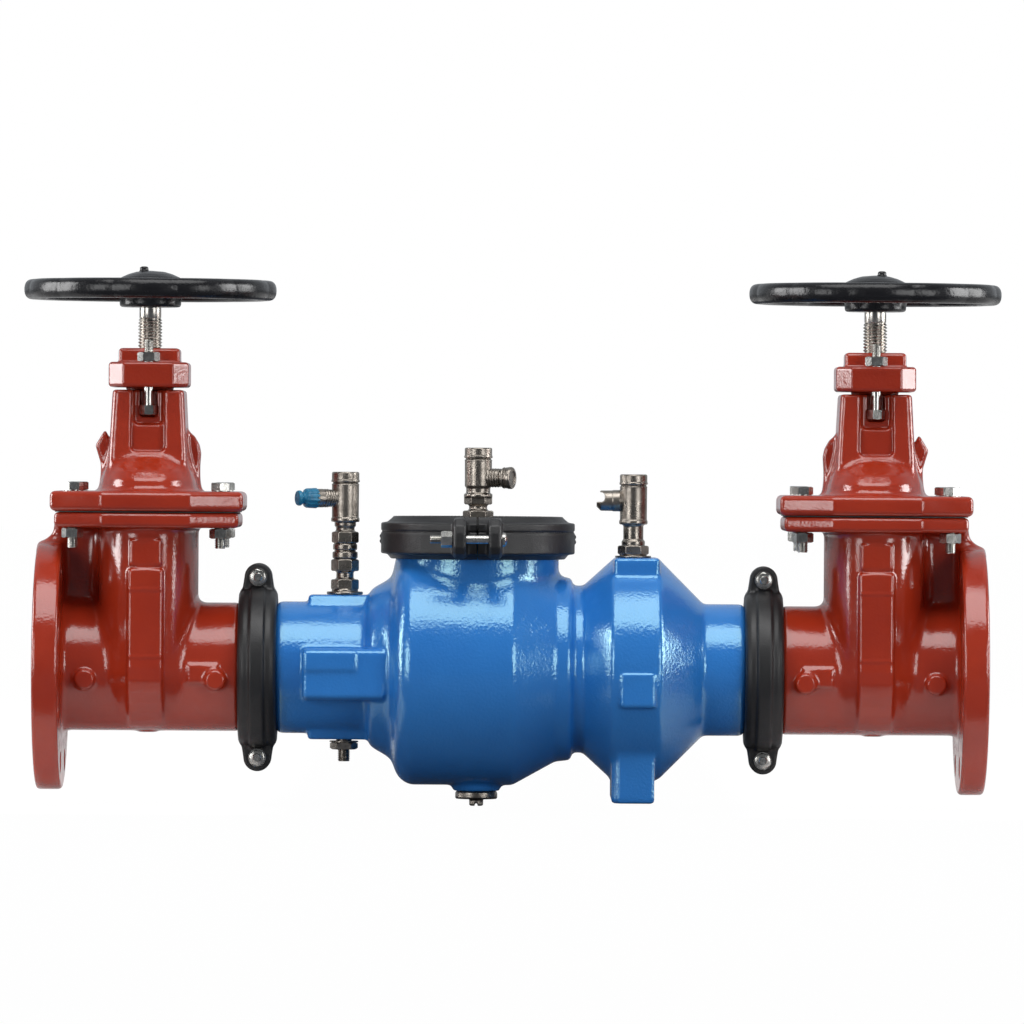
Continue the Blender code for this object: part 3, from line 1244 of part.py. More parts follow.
COCKS = (
    # name, x in the body's frame, face height, stack from the face up, side of the port, its radius,
    # how far it is below the top, what its end carries
    (
        "test_cock_1",
        COCK_1_X,
        NIPPLE_RADIUS + PAD_RISE,
        (
            ("round", 16.7 * MM, 2.5 * MM),
            ("hexagon", 11.6 * MM, 11.0 * MM),
            ("round", 8.6 * MM, 7.5 * MM),
            ("hexagon", 12.0 * MM, 11.0 * MM),
            ("round", 12.7 * MM, 12.0 * MM),
            ("round", 10.8 * MM, 1.6 * MM),
            ("round", 12.9 * MM, 12.2 * MM),
            ("round", 9.5 * MM, 9.3 * MM),
        ),
        -1,
        PORT_RADIUS,
        PORT_DROP,
        None,
    ),
    (
        "test_cock_2",
        NECK_X,
        COVER_TOP + COVER_BOSS_HEIGHT,
        (
            ("hexagon", 12.3 * MM, 7.5 * MM),
            ("round", 8.8 * MM, 6.5 * MM),
            ("round", 13.2 * MM, 5.0 * MM),
        ),
        1,
        PORT_RADIUS,
        CAPPED_PORT_DROP,
        metal_cap,
    ),
    (
        "test_cock_3",
        COCK_3_X,
        CHAMBER_2_RADIUS + COCK_3_PAD_RISE,
        (
            ("round", 17.7 * MM, 2.5 * MM),
            ("hexagon", 13.0 * MM, 8.0 * MM),
            ("round", 11.5 * MM, 2.0 * MM),
            ("round", 9.3 * MM, 14.0 * MM),
        ),
        -1,
        PORT_RADIUS + 1.2 * MM,
        PORT_DROP,
        fork_end,
    ),
)


def port_cap(port_z):
    """The first cock's dust cap: a stepped sleeve over the outlet, closed at its end."""
    mouth = -PORT_REACH + 6.0 * MM
    shell = turned(
        [
            (0, mouth - CAP_LENGTH - 4.0 * MM),
            (CAP_RADIUS - 1.6 * MM, mouth - CAP_LENGTH - 4.0 * MM),
            (CAP_RADIUS - 1.6 * MM, mouth - CAP_LENGTH + 2.0 * MM),
            (CAP_RADIUS - 2.6 * MM, mouth - CAP_LENGTH + 4.0 * MM),
            (CAP_RADIUS + 0.9 * MM, mouth - CAP_LENGTH + 9.0 * MM),
            (CAP_RADIUS + 0.9 * MM, mouth),
            (0, mouth),
        ],
        MEDIUM_SIDES,
        "X",
        (0, 0, port_z),
    )
    inside = rod(PORT_RADIUS + SEATED, -PORT_REACH - SEATED, mouth + OVERCUT, MEDIUM_SIDES, "X", (0, 0, port_z))
    return cut(shell, inside)


def drain_plug():
    """Screwed up into the boss; z = 0 is the boss's face."""
    disc_low = -SEATED - DRAIN_DISC_HEIGHT
    tip_low = disc_low - DRAIN_TIP_HEIGHT
    return turned(
        [
            (0, tip_low),
            (DRAIN_TIP_RADIUS - 1.0 * MM, tip_low),
            (DRAIN_TIP_RADIUS, tip_low + 1.0 * MM),
            (DRAIN_TIP_RADIUS, disc_low),
            (DRAIN_DISC_RADIUS - 1.0 * MM, disc_low),
            (DRAIN_DISC_RADIUS, disc_low + 1.0 * MM),
            (DRAIN_DISC_RADIUS, -SEATED),
            (DRAIN_RADIUS, -SEATED),
            (DRAIN_RADIUS, TAPPING_DEPTH),
            (0, TAPPING_DEPTH),
        ],
        MEDIUM_SIDES,
    )


def pad_plug():
    """A hexagon plug under the inlet pad; z = 0 is the pad's face."""
    low = -SEATED - PAD_PLUG_HEIGHT
    head = prism(hexagon(PAD_PLUG_FLATS), low, -SEATED)
    shank = rod(TAPPING_RADIUS - RUNNING, -SEATED - EMBED, TAPPING_DEPTH, MEDIUM_SIDES)
    tail = rod(PAD_PLUG_TAIL_RADIUS, low - PAD_PLUG_TAIL, low + EMBED, SMALL_SIDES, edge=1.0 * MM)
    return fuse(head, shank, tail)


def build_check_assembly():
    assembly = empty("check_assembly", (INLET_COUPLING_X, 0, 0))
    place("check_body", finished(check_body(), "blue_epoxy"), assembly)
    neck_axis = (NECK_X, 0, 0)
    place("cover", finished(cover(), "black_iron"), assembly, neck_axis)
    place("cover_gasket", finished(cover_gasket(), "black_rubber"), assembly, neck_axis)
    half = finished(clamp_half(), "black_iron")
    place("clamp_half_left", half, assembly, neck_axis)
    place("clamp_half_right", half, assembly, neck_axis, math.pi)
    bolt = finished(clamp_bolt(), "zinc_steel")
    place("clamp_bolt_front", bolt, assembly, (NECK_X, -CLAMP_BOLT_Y, CLAMP_BOLT_Z))
    place("clamp_bolt_rear", bolt, assembly, (NECK_X, CLAMP_BOLT_Y, CLAMP_BOLT_Z))

    cage = finished(check_cage(), "grey_polymer")
    poppet = finished(check_poppet(), "grey_polymer")
    spring = finished(check_spring(), "spring_steel")
    for number, seat_x in ((1, SEAT_1_FACE), (2, SEAT_2_FACE)):
        place(f"check_{number}_cage", cage, assembly, (seat_x, 0, 0))
        place(f"check_{number}_poppet", poppet, assembly, (seat_x, 0, 0))
        place(f"check_{number}_spring", spring, assembly, (seat_x, 0, 0))

    for name, x, face, stack, port_side, port_radius, port_drop, extra in COCKS:
        body, top, port_z = cock_body(stack, port_side, port_radius, port_drop, extra)
        place(f"{name}_body", finished(body, "nickel_bronze"), assembly, (x, 0, face))
        place(f"{name}_plug", finished(cock_plug(port_z, top), "stainless_steel"), assembly, (x, 0, face))
        if name == "test_cock_1":
            place("test_cock_1_cap", finished(port_cap(port_z), "teal_cap"), assembly, (x, 0, face))

    drain_face = -CHAMBER_1_RADIUS - DRAIN_BOSS_RISE
    place("drain_plug", finished(drain_plug(), "nickel_bronze"), assembly, (NECK_X, 0, drain_face))
    pad_face = -NIPPLE_RADIUS - PAD_RISE
    place("pad_plug", finished(pad_plug(), "zinc_steel"), assembly, (COCK_1_X, 0, pad_face))


# Couplings: each one's axis is X, and x = 0 is the gap between the pipe ends


def coupling_half():
    """The front half: a ring with two keys that sit in the pipe grooves, and two bolt ears."""
    lip = GROOVED_RADIUS + COUPLING_CLEARANCE
    key = GROOVE_RADIUS + COUPLING_CLEARANCE
    pocket_radius = GASKET_RADIUS + COUPLING_CLEARANCE
    key_near = PIPE_END_GAP / 2 + GROOVE_LAND + COUPLING_CLEARANCE / 2
    key_far = PIPE_END_GAP / 2 + GROOVE_LAND + GROOVE_WIDTH - COUPLING_CLEARANCE / 2
    outside = [
        (HOUSING_RADIUS + COUPLING_RIB, COUPLING_RIB_HALF),
        (HOUSING_RADIUS, COUPLING_RIB_HALF + COUPLING_RIB),
        (HOUSING_RADIUS, COUPLING_HALF_WIDTH),
        (lip, COUPLING_HALF_WIDTH),
        (lip, key_far),
        (key, key_far),
        (key, key_near),
        (pocket_radius, key_near),
    ]
    profile = outside + [(radius, -x) for radius, x in reversed(outside)]
    ring = turned(profile, LARGE_SIDES, "X")
    ears = []
    for side in (-1, 1):
        steps = 6
        outline = [
            (-COUPLING_EAR_RADIUS, side * (HOUSING_RADIUS - COUPLING_WALL)),
            (COUPLING_EAR_RADIUS, side * (HOUSING_RADIUS - COUPLING_WALL)),
        ]
        for i in range(steps + 1):
            angle = math.pi * i / steps
            x = COUPLING_EAR_RADIUS * math.cos(angle)
            outline.append((x, side * (COUPLING_BOLT_Z + COUPLING_EAR_RADIUS * math.sin(angle))))
        ears.append(prism(outline, -COUPLING_EAR_THICKNESS, 0, "Y"))
    fuse(ring, *ears)
    away = 2 * HOUSING_RADIUS
    rear = box((-away, -COUPLING_SPLIT / 2, -away), (away, away, away))
    hole_radius = COUPLING_BOLT_RADIUS + RUNNING
    holes = [
        rod(hole_radius, -away, away, SMALL_SIDES, "Y", (0, 0, z)) for z in (-COUPLING_BOLT_Z, COUPLING_BOLT_Z)
    ]
    return cut(ring, rear, *holes)


def coupling_gasket():
    """A C-shaped rubber ring that seals on both pipe ends."""
    inside = GROOVED_RADIUS + COUPLING_CLEARANCE
    channel = inside + 0.4 * GASKET_THICKNESS
    gap = 0.4 * GASKET_HALF_WIDTH
    profile = [
        (inside, gap),
        (inside, GASKET_HALF_WIDTH),
        (GASKET_RADIUS, GASKET_HALF_WIDTH),
        (GASKET_RADIUS, -GASKET_HALF_WIDTH),
        (inside, -GASKET_HALF_WIDTH),
        (inside, -gap),
        (channel, -gap),
        (channel, gap),
    ]
    return turned(profile, LARGE_SIDES, "X")


def coupling_bolt():
    """Along Y on its own axis, with its nut at the front."""
    seat = COUPLING_EAR_THICKNESS + SEATED
    nut_far = -seat - COUPLING_NUT_HEIGHT
    shank = rod(COUPLING_BOLT_RADIUS, nut_far - COUPLING_BOLT_TAIL, seat + EMBED, SHANK_SIDES, "Y")
    head = prism(hexagon(COUPLING_NUT_FLATS), seat, seat + COUPLING_NUT_HEIGHT, "Y")
    return fuse(head, shank, prism(hexagon(COUPLING_NUT_FLATS), nut_far, -seat, "Y"))


def build_couplings():
    half = finished(coupling_half(), "black_iron")
    gasket = finished(coupling_gasket(), "black_rubber")
    bolt = finished(coupling_bolt(), "zinc_steel")
    for side, x in (("inlet", INLET_COUPLING_X), ("outlet", OUTLET_COUPLING_X)):
        coupling = empty(f"{side}_coupling", (x, 0, 0))
        place(f"{side}_coupling_front", half, coupling)
        place(f"{side}_coupling_rear", half, coupling, turn=math.pi)
        place(f"{side}_coupling_gasket", gasket, coupling)
        place(f"{side}_coupling_bolt_top", bolt, coupling, (0, 0, COUPLING_BOLT_Z))
        place(f"{side}_coupling_bolt_bottom", bolt, coupling, (0, 0, -COUPLING_BOLT_Z))


def main():
    for leftover in list(bpy.data.objects):
        bpy.data.objects.remove(leftover)
    build_gate_valves()
    build_check_assembly()
    build_couplings()


if __name__ == "__main__":
    main()
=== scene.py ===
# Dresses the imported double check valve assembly: castings, fasteners, paint and light
import math

import bpy
import numpy as np
import openvdb
from mathutils import Matrix, Vector


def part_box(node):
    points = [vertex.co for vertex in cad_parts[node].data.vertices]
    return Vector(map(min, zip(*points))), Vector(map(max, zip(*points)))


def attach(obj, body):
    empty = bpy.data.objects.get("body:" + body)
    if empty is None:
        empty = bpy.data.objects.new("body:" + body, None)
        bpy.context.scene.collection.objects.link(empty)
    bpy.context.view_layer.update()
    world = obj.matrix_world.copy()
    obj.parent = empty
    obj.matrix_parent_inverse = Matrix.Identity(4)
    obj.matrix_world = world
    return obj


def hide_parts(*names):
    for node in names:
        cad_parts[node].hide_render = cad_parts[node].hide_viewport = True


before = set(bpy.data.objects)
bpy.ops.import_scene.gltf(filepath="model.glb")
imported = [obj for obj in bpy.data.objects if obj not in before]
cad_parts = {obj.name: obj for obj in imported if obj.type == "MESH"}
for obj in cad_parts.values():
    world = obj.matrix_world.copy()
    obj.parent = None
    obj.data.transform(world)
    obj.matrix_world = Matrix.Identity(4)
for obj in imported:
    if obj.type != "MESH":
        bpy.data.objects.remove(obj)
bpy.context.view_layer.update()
print("stage: frame loaded")

# Lengths in the settings are millimetres, and meshes are made in metres
toMetres = 0.001
sides = ("inlet", "outlet")
stationX = {"inlet": 102.5, "outlet": 774.5}
couplingX = {"inlet": 204.5, "outlet": 672.5}
bodyStart = 204.5


# Distance fields: castings are sums of simple shapes with a fillet at each joint
def openField(low, high, step):
    field = {"low": low, "step": step}
    for index, axis in enumerate("xyz"):
        values = np.arange(low[index], high[index] + step, step, dtype=np.float32)
        shape = [1, 1, 1]
        shape[index] = len(values)
        field[axis] = values.reshape(shape)
    return field


def outlineDistance(outline, u, v):
    # Distance to a closed outline, negative inside it
    points = np.asarray(outline, np.float32)
    shape = np.broadcast(u, v).shape
    nearest = np.full(shape, 1e9, np.float32)
    inside = np.zeros(shape, bool)
    for start, end in zip(points, np.roll(points, -1, axis=0)):
        edge = end - start
        du = u - start[0]
        dv = v - start[1]
        along = np.clip((du * edge[0] + dv * edge[1]) / max(float(edge @ edge), 1e-9), 0, 1)
        nearest = np.minimum(nearest, (du - along * edge[0]) ** 2 + (dv - along * edge[1]) ** 2)
        if edge[1] != 0:
            crosses = (start[1] > v) != (end[1] > v)
            inside ^= crosses & (u < start[0] + edge[0] * dv / edge[1])
    distance = np.sqrt(nearest)
    return np.where(inside, -distance, distance).astype(np.float32)


def inset(outline, amount):
    # Moves each side of a convex outline inwards
    points = [Vector(point) for point in outline]
    area = sum(a.x * b.y - b.x * a.y for a, b in zip(points, points[1:] + points[:1]))
    turn = 1 if area > 0 else -1
    result = []
    for index, corner in enumerate(points):
        before = (corner - points[index - 1]).normalized()
        after = (points[(index + 1) % len(points)] - corner).normalized()
        inwardBefore = Vector((-before.y, before.x)) * turn
        inwardAfter = Vector((-after.y, after.x)) * turn
        middle = (inwardBefore + inwardAfter).normalized()
        result.append(tuple(corner + middle * (amount / max(middle.dot(inwardAfter), 0.2))))
    return result


def slab(flat, across, low, high, edge):
    # Gives an outline's distance a thickness, with its rim rounded by edge
    deep = np.abs(across - 0.5 * (low + high)) - 0.5 * (high - low) + edge
    flat = flat + edge
    outer = np.sqrt(np.maximum(flat, 0) ** 2 + np.maximum(deep, 0) ** 2)
    return outer + np.minimum(np.maximum(flat, deep), 0) - edge


def prismField(field, outline, low, high, axis="z", edge=0.0, round=0.0):
    x, y, z = field["x"], field["y"], field["z"]
    u, v, across = {"z": (x, y, z), "y": (x, z, y), "x": (y, z, x)}[axis]
    if round:
        flat = outlineDistance(inset(outline, round), u, v) - round
    else:
        flat = outlineDistance(outline, u, v)
    return slab(flat, across, low, high, edge)


def boxField(field, low, high, edge=0.0):
    outline = [(low[0], low[1]), (high[0], low[1]), (high[0], high[1]), (low[0], high[1])]
    return prismField(field, outline, low[2], high[2], "z", edge, edge)


def turnedField(field, profile, axis="z", at=(0, 0, 0), round=0.0):
    # profile lists (place along the axis, radius) and is closed through the axis
    own = {"x": 0, "y": 1, "z": 2}[axis]
    others = [index for index in range(3) if index != own]
    radial = np.sqrt(sum((field["xyz"[index]] - at[index]) ** 2 for index in others))
    along = field[axis].ravel() - at[own]
    fine = 0.4 * field["step"]
    ladder = np.arange(0, float(radial.max()) + 2 * fine, fine, dtype=np.float32)
    closed = [(profile[0][0], -60.0), *profile, (profile[-1][0], -60.0)]
    table = outlineDistance(closed, along[:, None], ladder[None, :]) - round
    place = radial / fine
    below = np.minimum(place.astype(np.int32), len(ladder) - 2)
    part = (place - below).astype(np.float32)
    lower = table[:, np.squeeze(below, own)]
    upper = table[:, np.squeeze(below + 1, own)]
    values = lower + (upper - lower) * np.squeeze(part, own)[None]
    return np.moveaxis(values, 0, own)


def rodField(field, radius, low, high, axis="z", at=(0, 0, 0), edge=0.0):
    own = {"x": 0, "y": 1, "z": 2}[axis]
    others = [index for index in range(3) if index != own]
    radial = np.sqrt(sum((field["xyz"[index]] - at[index]) ** 2 for index in others))
    return slab(radial - radius, field[axis] - at[own], low, high, edge)


def ovalField(field, halfX, halfY, power):
    # halfX and halfY may change with height
    x, y = field["x"], field["y"]
    reach = ((np.abs(x) / halfX) ** power + (np.abs(y) / halfY) ** power) ** (1 / power)
    reach = np.maximum(reach, 1e-4)
    return np.sqrt(x * x + y * y + 1e-6) * (1 - 1 / reach)


def blended(a, b, fillet):
    if fillet <= 0:
        return np.minimum(a, b)
    share = np.clip(0.5 + 0.5 * (b - a) / fillet, 0, 1)
    return b + (a - b) * share - fillet * share * (1 - share)


def hollowed(a, cutter, edge=0.0):
    return -blended(-a, cutter, edge)


def softened(values, passes):
    # Rounds every edge a little, as sand and paint do
    for _ in range(passes):
        for axis in range(3):
            ahead = np.roll(values, -1, axis)
            behind = np.roll(values, 1, axis)
            values = 0.5 * values + 0.25 * (ahead + behind)
    return values


def castMesh(name, field, values):
    values = np.ascontiguousarray(values, dtype=np.float32)
    for axis in range(3):
        first = [slice(None)] * 3
        first[axis] = [0, -1]
        values[tuple(first)] = np.maximum(values[tuple(first)], 0.3 * field["step"])
    grid = openvdb.FloatGrid(3 * field["step"])
    grid.copyFromArray(values)
    points, quads = grid.convertToQuads(0.0)
    points = (points * field["step"] + np.array(field["low"])) * toMetres
    return quadMesh(name, points, quads)


def quadMesh(name, points, quads):
    points = np.asarray(points, np.float64)
    quads = np.asarray(quads, np.int64)
    a, b, c, d = (points[quads[:, k]] for k in range(4))
    volume = (a * np.cross(b, c)).sum() + (a * np.cross(c, d)).sum()
    if volume < 0:
        quads = quads[:, ::-1]
    mesh = bpy.data.meshes.new(name)
    mesh.vertices.add(len(points))
    mesh.vertices.foreach_set("co", points.astype(np.float32).ravel())
    mesh.loops.add(quads.size)
    mesh.loops.foreach_set("vertex_index", quads.astype(np.int32).ravel())
    mesh.polygons.add(len(quads))
    mesh.polygons.foreach_set("loop_start", np.arange(0, quads.size, 4, dtype=np.int32))
    mesh.polygons.foreach_set("use_smooth", np.ones(len(quads), bool))
    mesh.update(calc_edges=True)
    mesh.validate()
    return mesh


# Plain meshes: lists of points and faces in millimetres
def ringed(rings, closed=False):
    count = len(rings[0])
    points = [point for ring in rings for point in ring]
    faces = []
    last = len(rings) if closed else len(rings) - 1
    for r in range(last):
        here = r * count
        ahead = ((r + 1) % len(rings)) * count
        for k in range(count):
            j = (k + 1) % count
            faces.append((here + k, here + j, ahead + j, ahead + k))
    if not closed:
        faces.append(tuple(reversed(range(count))))
        faces.append(tuple(range((len(rings) - 1) * count, len(rings) * count)))
    return points, faces


def hexagonContour(flats, phase):
    # Four points on each side of the hexagon, as (angle, radius)
    contour = []
    for k in range(24):
        angle = math.tau * k / 24
        fromFlat = (angle % (math.pi / 3)) - math.pi / 6
        contour.append((angle + phase, 0.5 * flats / math.cos(fromFlat)))
    return contour


def hexagonHead(flats, low, high, phase=0.0, chamferLow=True, chamferHigh=True):
    contour = hexagonContour(flats, phase)
    crown = 0.475 * flats
    slope = math.tan(math.radians(30))

    def ring(height, turnedIn, side):
        result = []
        for angle, radius in contour:
            drop = (radius - crown) * slope if side else 0.0
            reach = crown if turnedIn else radius
            result.append((reach * math.cos(angle), reach * math.sin(angle), height - side * drop))
        return result

    rings = []
    if chamferLow:
        rings.append(ring(low, True, 0))
    rings.append(ring(low, False, -1 if chamferLow else 0))
    rings.append(ring(high, False, 1 if chamferHigh else 0))
    if chamferHigh:
        rings.append(ring(high, True, 0))
    return ringed(rings)


def threadedRod(radius, depth, pitch, low, high, count=24, flat=0.25, starts=1):
    # A screw thread with slanted flanks and a chamfered start at each end
    stepsPerTurn = 8
    total = max(int((high - low) / pitch * stepsPerTurn), 4)
    rings = []
    for i in range(total + 1):
        z = low + (high - low) * i / total
        ring = []
        for k in range(count):
            angle = math.tau * k / count
            phase = (z / pitch - starts * k / count) % 1.0
            wave = abs(2 * phase - 1)
            ridge = min(max((wave - flat) / (1 - 2 * flat), 0), 1)
            fromEnd = min(z - low, high - z)
            reach = radius - depth * (1 - ridge)
            reach = min(reach, radius - depth + fromEnd)
            ring.append((reach * math.cos(angle), reach * math.sin(angle), z))
        rings.append(ring)
    return ringed(rings)


def turnedShape(profile, count=48):
    # profile lists (radius, height) from the foot to the top
    rings = []
    for radius, z in profile:
        reach = max(radius, 0.01)
        angles = [math.tau * k / count for k in range(count)]
        rings.append([(reach * math.cos(angle), reach * math.sin(angle), z) for angle in angles])
    return ringed(rings)


def together(*shapes):
    points, faces = [], []
    for shapePoints, shapeFaces in shapes:
        start = len(points)
        points += list(shapePoints)
        faces += [tuple(start + index for index in face) for face in shapeFaces]
    return points, faces


def shapeMesh(name, shape, sharpAbove=35):
    points, faces = shape
    mesh = bpy.data.meshes.new(name)
    mesh.from_pydata([tuple(value * toMetres for value in point) for point in points], [], faces)
    mesh.polygons.foreach_set("use_smooth", [True] * len(mesh.polygons))
    mesh.update()
    mesh.set_sharp_from_angle(angle=math.radians(sharpAbove))
    return mesh


def onAxis(axis):
    # Turns something made along Z so that it lies along another axis
    return {
        "z": Matrix.Identity(4),
        "x": Matrix.Rotation(math.pi / 2, 4, "Y"),
        "y": Matrix.Rotation(-math.pi / 2, 4, "X"),
    }[axis]


def addPiece(name, mesh, finish, body, nodes, at=(0, 0, 0), turn=0.0, axis="z"):
    # Places a piece in the row frame, on its body, for the nodes that it stands for
    piece = bpy.data.objects.new(name, mesh)
    bpy.context.scene.collection.objects.link(piece)
    if not mesh.materials:
        mesh.materials.append(finish)
    place = Matrix.Translation(Vector(at) * toMetres)
    piece.matrix_world = place @ Matrix.Rotation(turn, 4, "Z") @ onAxis(axis)
    bpy.context.view_layer.update()
    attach(piece, body)
    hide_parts(*nodes)
    return piece


# Camera and light
photo = {
    "distance": 8000.0,
    "mmPerPixel": 0.927,
    "centreX": 438.6,
    "axisRow": 668.6,
    "horizonRow": 459.3,
    "roll": -0.38,
    "size": 1024,
}


def placeCamera():
    horizon = (photo["axisRow"] - photo["horizonRow"]) * photo["mmPerPixel"]
    data = bpy.data.cameras.new("photoCamera")
    camera = bpy.data.objects.new("photoCamera", data)
    bpy.context.scene.collection.objects.link(camera)
    data.sensor_width = 36.0
    data.lens = 36.0 * photo["distance"] / (photo["mmPerPixel"] * photo["size"])
    data.shift_y = -(photo["size"] / 2 - photo["horizonRow"]) / photo["size"]
    data.clip_end = 100.0
    upright = Matrix.Rotation(math.pi / 2, 4, "X")
    roll = Matrix.Rotation(math.radians(photo["roll"]), 4, "Y")
    place = Vector((photo["centreX"], -photo["distance"], horizon)) * toMetres
    camera.matrix_world = Matrix.Translation(place) @ roll @ upright
    bpy.context.scene.camera = camera


# name, azimuth from the camera's side, elevation, distance, width, height, radiance, what it lights
lamps = (
    ("overheadBox", 0.0, 64.0, 2.6, 2.6, 1.9, 3.8, "all"),
    ("leftFrontBox", -41.5, 3.0, 2.8, 0.95, 1.7, 4.8, "all"),
    ("rightFrontBox", 41.5, 3.0, 2.8, 0.95, 1.7, 4.8, "all"),
    ("leftWall", -91.0, 8.0, 3.0, 1.3, 2.6, 10.0, "shine"),
    ("rightWall", 91.0, 8.0, 3.0, 1.3, 2.6, 10.0, "shine"),
    ("leftFill", -100.0, 8.0, 3.0, 3.2, 2.6, 1.3, "paint"),
    ("rightFill", 100.0, 8.0, 3.0, 3.2, 2.6, 1.3, "paint"),
    ("backFill", 180.0, 25.0, 3.2, 2.8, 1.6, 1.6, "paint"),
)


def placeLamps():
    centre = Vector((photo["centreX"], 0.0, 100.0)) * toMetres
    for name, azimuth, elevation, distance, width, height, radiance, lights in lamps:
        data = bpy.data.lights.new(name, "AREA")
        data.shape = "RECTANGLE"
        data.size = width
        data.size_y = height
        data.energy = radiance * math.pi * width * height
        lamp = bpy.data.objects.new(name, data)
        bpy.context.scene.collection.objects.link(lamp)
        level = math.cos(math.radians(elevation))
        away = Vector(
            (
                math.sin(math.radians(azimuth)) * level,
                -math.cos(math.radians(azimuth)) * level,
                math.sin(math.radians(elevation)),
            )
        )
        lamp.location = centre + away * distance
        lamp.rotation_euler = away.to_track_quat("Z", "Y").to_euler()
        lamp.visible_camera = False
        lamp.visible_diffuse = lights != "shine"
        lamp.visible_glossy = lights != "paint"


def lightWorld():
    scene = bpy.context.scene
    world = bpy.data.worlds.new("studio")
    scene.world = world
    world.use_nodes = True
    tree = world.node_tree
    tree.nodes.clear()
    out = tree.nodes.new("ShaderNodeOutputWorld")
    mix = tree.nodes.new("ShaderNodeMixShader")
    room = tree.nodes.new("ShaderNodeBackground")
    backdrop = tree.nodes.new("ShaderNodeBackground")
    path = tree.nodes.new("ShaderNodeLightPath")
    # The room is dim on the viewer's side and brighter behind the object
    where = tree.nodes.new("ShaderNodeTexCoord")
    parts = tree.nodes.new("ShaderNodeSeparateXYZ")
    level = tree.nodes.new("ShaderNodeMapRange")
    for label, number in (("From Min", -0.3), ("From Max", 0.6), ("To Min", 0.14), ("To Max", 0.55)):
        level.inputs[label].default_value = number
    tree.links.new(where.outputs["Generated"], parts.inputs[0])
    tree.links.new(parts.outputs["Y"], level.inputs["Value"])
    tree.links.new(level.outputs["Result"], room.inputs["Strength"])
    room.inputs["Color"].default_value = (0.9, 0.95, 1.0, 1)
    backdrop.inputs["Color"].default_value = (1, 1, 1, 1)
    backdrop.inputs["Strength"].default_value = 1.0
    tree.links.new(path.outputs["Is Camera Ray"], mix.inputs[0])
    tree.links.new(room.outputs[0], mix.inputs[1])
    tree.links.new(backdrop.outputs[0], mix.inputs[2])
    tree.links.new(mix.outputs[0], out.inputs["Surface"])
    scene.view_settings.view_transform = "Standard"


floorSettings = {
    "level": -129.0,
    "half": 30000.0,
    # far is painted shade on the floor away from the valves, near is a painted pool of light beside them
    "far": (0.13, 0.135, 0.15, 1),
    "near": (0.78, 0.77, 0.76, 1),
    "white": 0.97,
    "glow": 1.02,
}


def paintedPoolShare(tree):
    # Painted light: the floor is pale only close to the two valves, a painted pool of light that their
    # undersides mirror, and dark elsewhere as painted shade
    where = tree.nodes.new("ShaderNodeTexCoord").outputs["Object"]
    parts = tree.nodes.new("ShaderNodeSeparateXYZ")
    tree.links.new(where, parts.inputs[0])
    aside = tree.nodes.new("ShaderNodeMath")
    aside.operation = "SUBTRACT"
    aside.inputs[1].default_value = photo["centreX"] * toMetres
    size = tree.nodes.new("ShaderNodeMath")
    size.operation = "ABSOLUTE"
    tree.links.new(parts.outputs["X"], aside.inputs[0])
    tree.links.new(aside.outputs[0], size.inputs[0])
    both = tree.nodes.new("ShaderNodeMath")
    both.operation = "MULTIPLY"
    bands = ((parts.outputs["Y"], -0.215, -0.17), (size.outputs[0], 0.20, 0.25))
    for index, (value, low, high) in enumerate(bands):
        ramp = tree.nodes.new("ShaderNodeMapRange")
        ramp.inputs["From Min"].default_value = low
        ramp.inputs["From Max"].default_value = high
        tree.links.new(value, ramp.inputs["Value"])
        tree.links.new(ramp.outputs["Result"], both.inputs[index])
    return both.outputs[0]


def layFloor():
    half = floorSettings["half"]
    z = floorSettings["level"]
    left = photo["centreX"] - half
    right = photo["centreX"] + half
    corners = [(left, -half, z), (right, -half, z), (right, half, z), (left, half, z)]
    mesh = shapeMesh("paleFloor", (corners, [(0, 1, 2, 3)]))
    floor = bpy.data.objects.new("paleFloor", mesh)
    bpy.context.scene.collection.objects.link(floor)
    finish = bpy.data.materials.new("paleFloor")
    finish.use_nodes = True
    tree = finish.node_tree
    tree.nodes.clear()
    out = tree.nodes.new("ShaderNodeOutputMaterial")
    mix = tree.nodes.new("ShaderNodeMixShader")
    paint = tree.nodes.new("ShaderNodeBsdfDiffuse")
    glow = tree.nodes.new("ShaderNodeEmission")
    path = tree.nodes.new("ShaderNodeLightPath")
    share = tree.nodes.new("ShaderNodeMath")
    share.operation = "MULTIPLY"
    share.inputs[1].default_value = floorSettings["white"]
    tone = tree.nodes.new("ShaderNodeMix")
    tone.data_type = "RGBA"
    tone.inputs["A"].default_value = floorSettings["far"]
    tone.inputs["B"].default_value = floorSettings["near"]
    tree.links.new(paintedPoolShare(tree), tone.inputs["Factor"])
    tree.links.new(tone.outputs["Result"], paint.inputs["Color"])
    glow.inputs["Color"].default_value = (1, 1, 1, 1)
    glow.inputs["Strength"].default_value = floorSettings["glow"]
    tree.links.new(path.outputs["Is Camera Ray"], share.inputs[0])
    tree.links.new(share.outputs[0], mix.inputs[0])
    tree.links.new(paint.outputs[0], mix.inputs[1])
    tree.links.new(glow.outputs[0], mix.inputs[2])
    tree.links.new(mix.outputs[0], out.inputs["Surface"])
    mesh.materials.append(finish)


placeCamera()
placeLamps()
lightWorld()
layFloor()
print("stage: camera, light and floor")


# Shader effects that several finishes share
def newGroup(name, inputs, outputs):
    group = bpy.data.node_groups.new(name, "ShaderNodeTree")
    for label, kind, value in inputs:
        socket = group.interface.new_socket(label, in_out="INPUT", socket_type=kind)
        socket.default_value = value
    for label, kind in outputs:
        group.interface.new_socket(label, in_out="OUTPUT", socket_type=kind)
    entry = group.nodes.new("NodeGroupInput")
    leave = group.nodes.new("NodeGroupOutput")
    return group, entry, leave


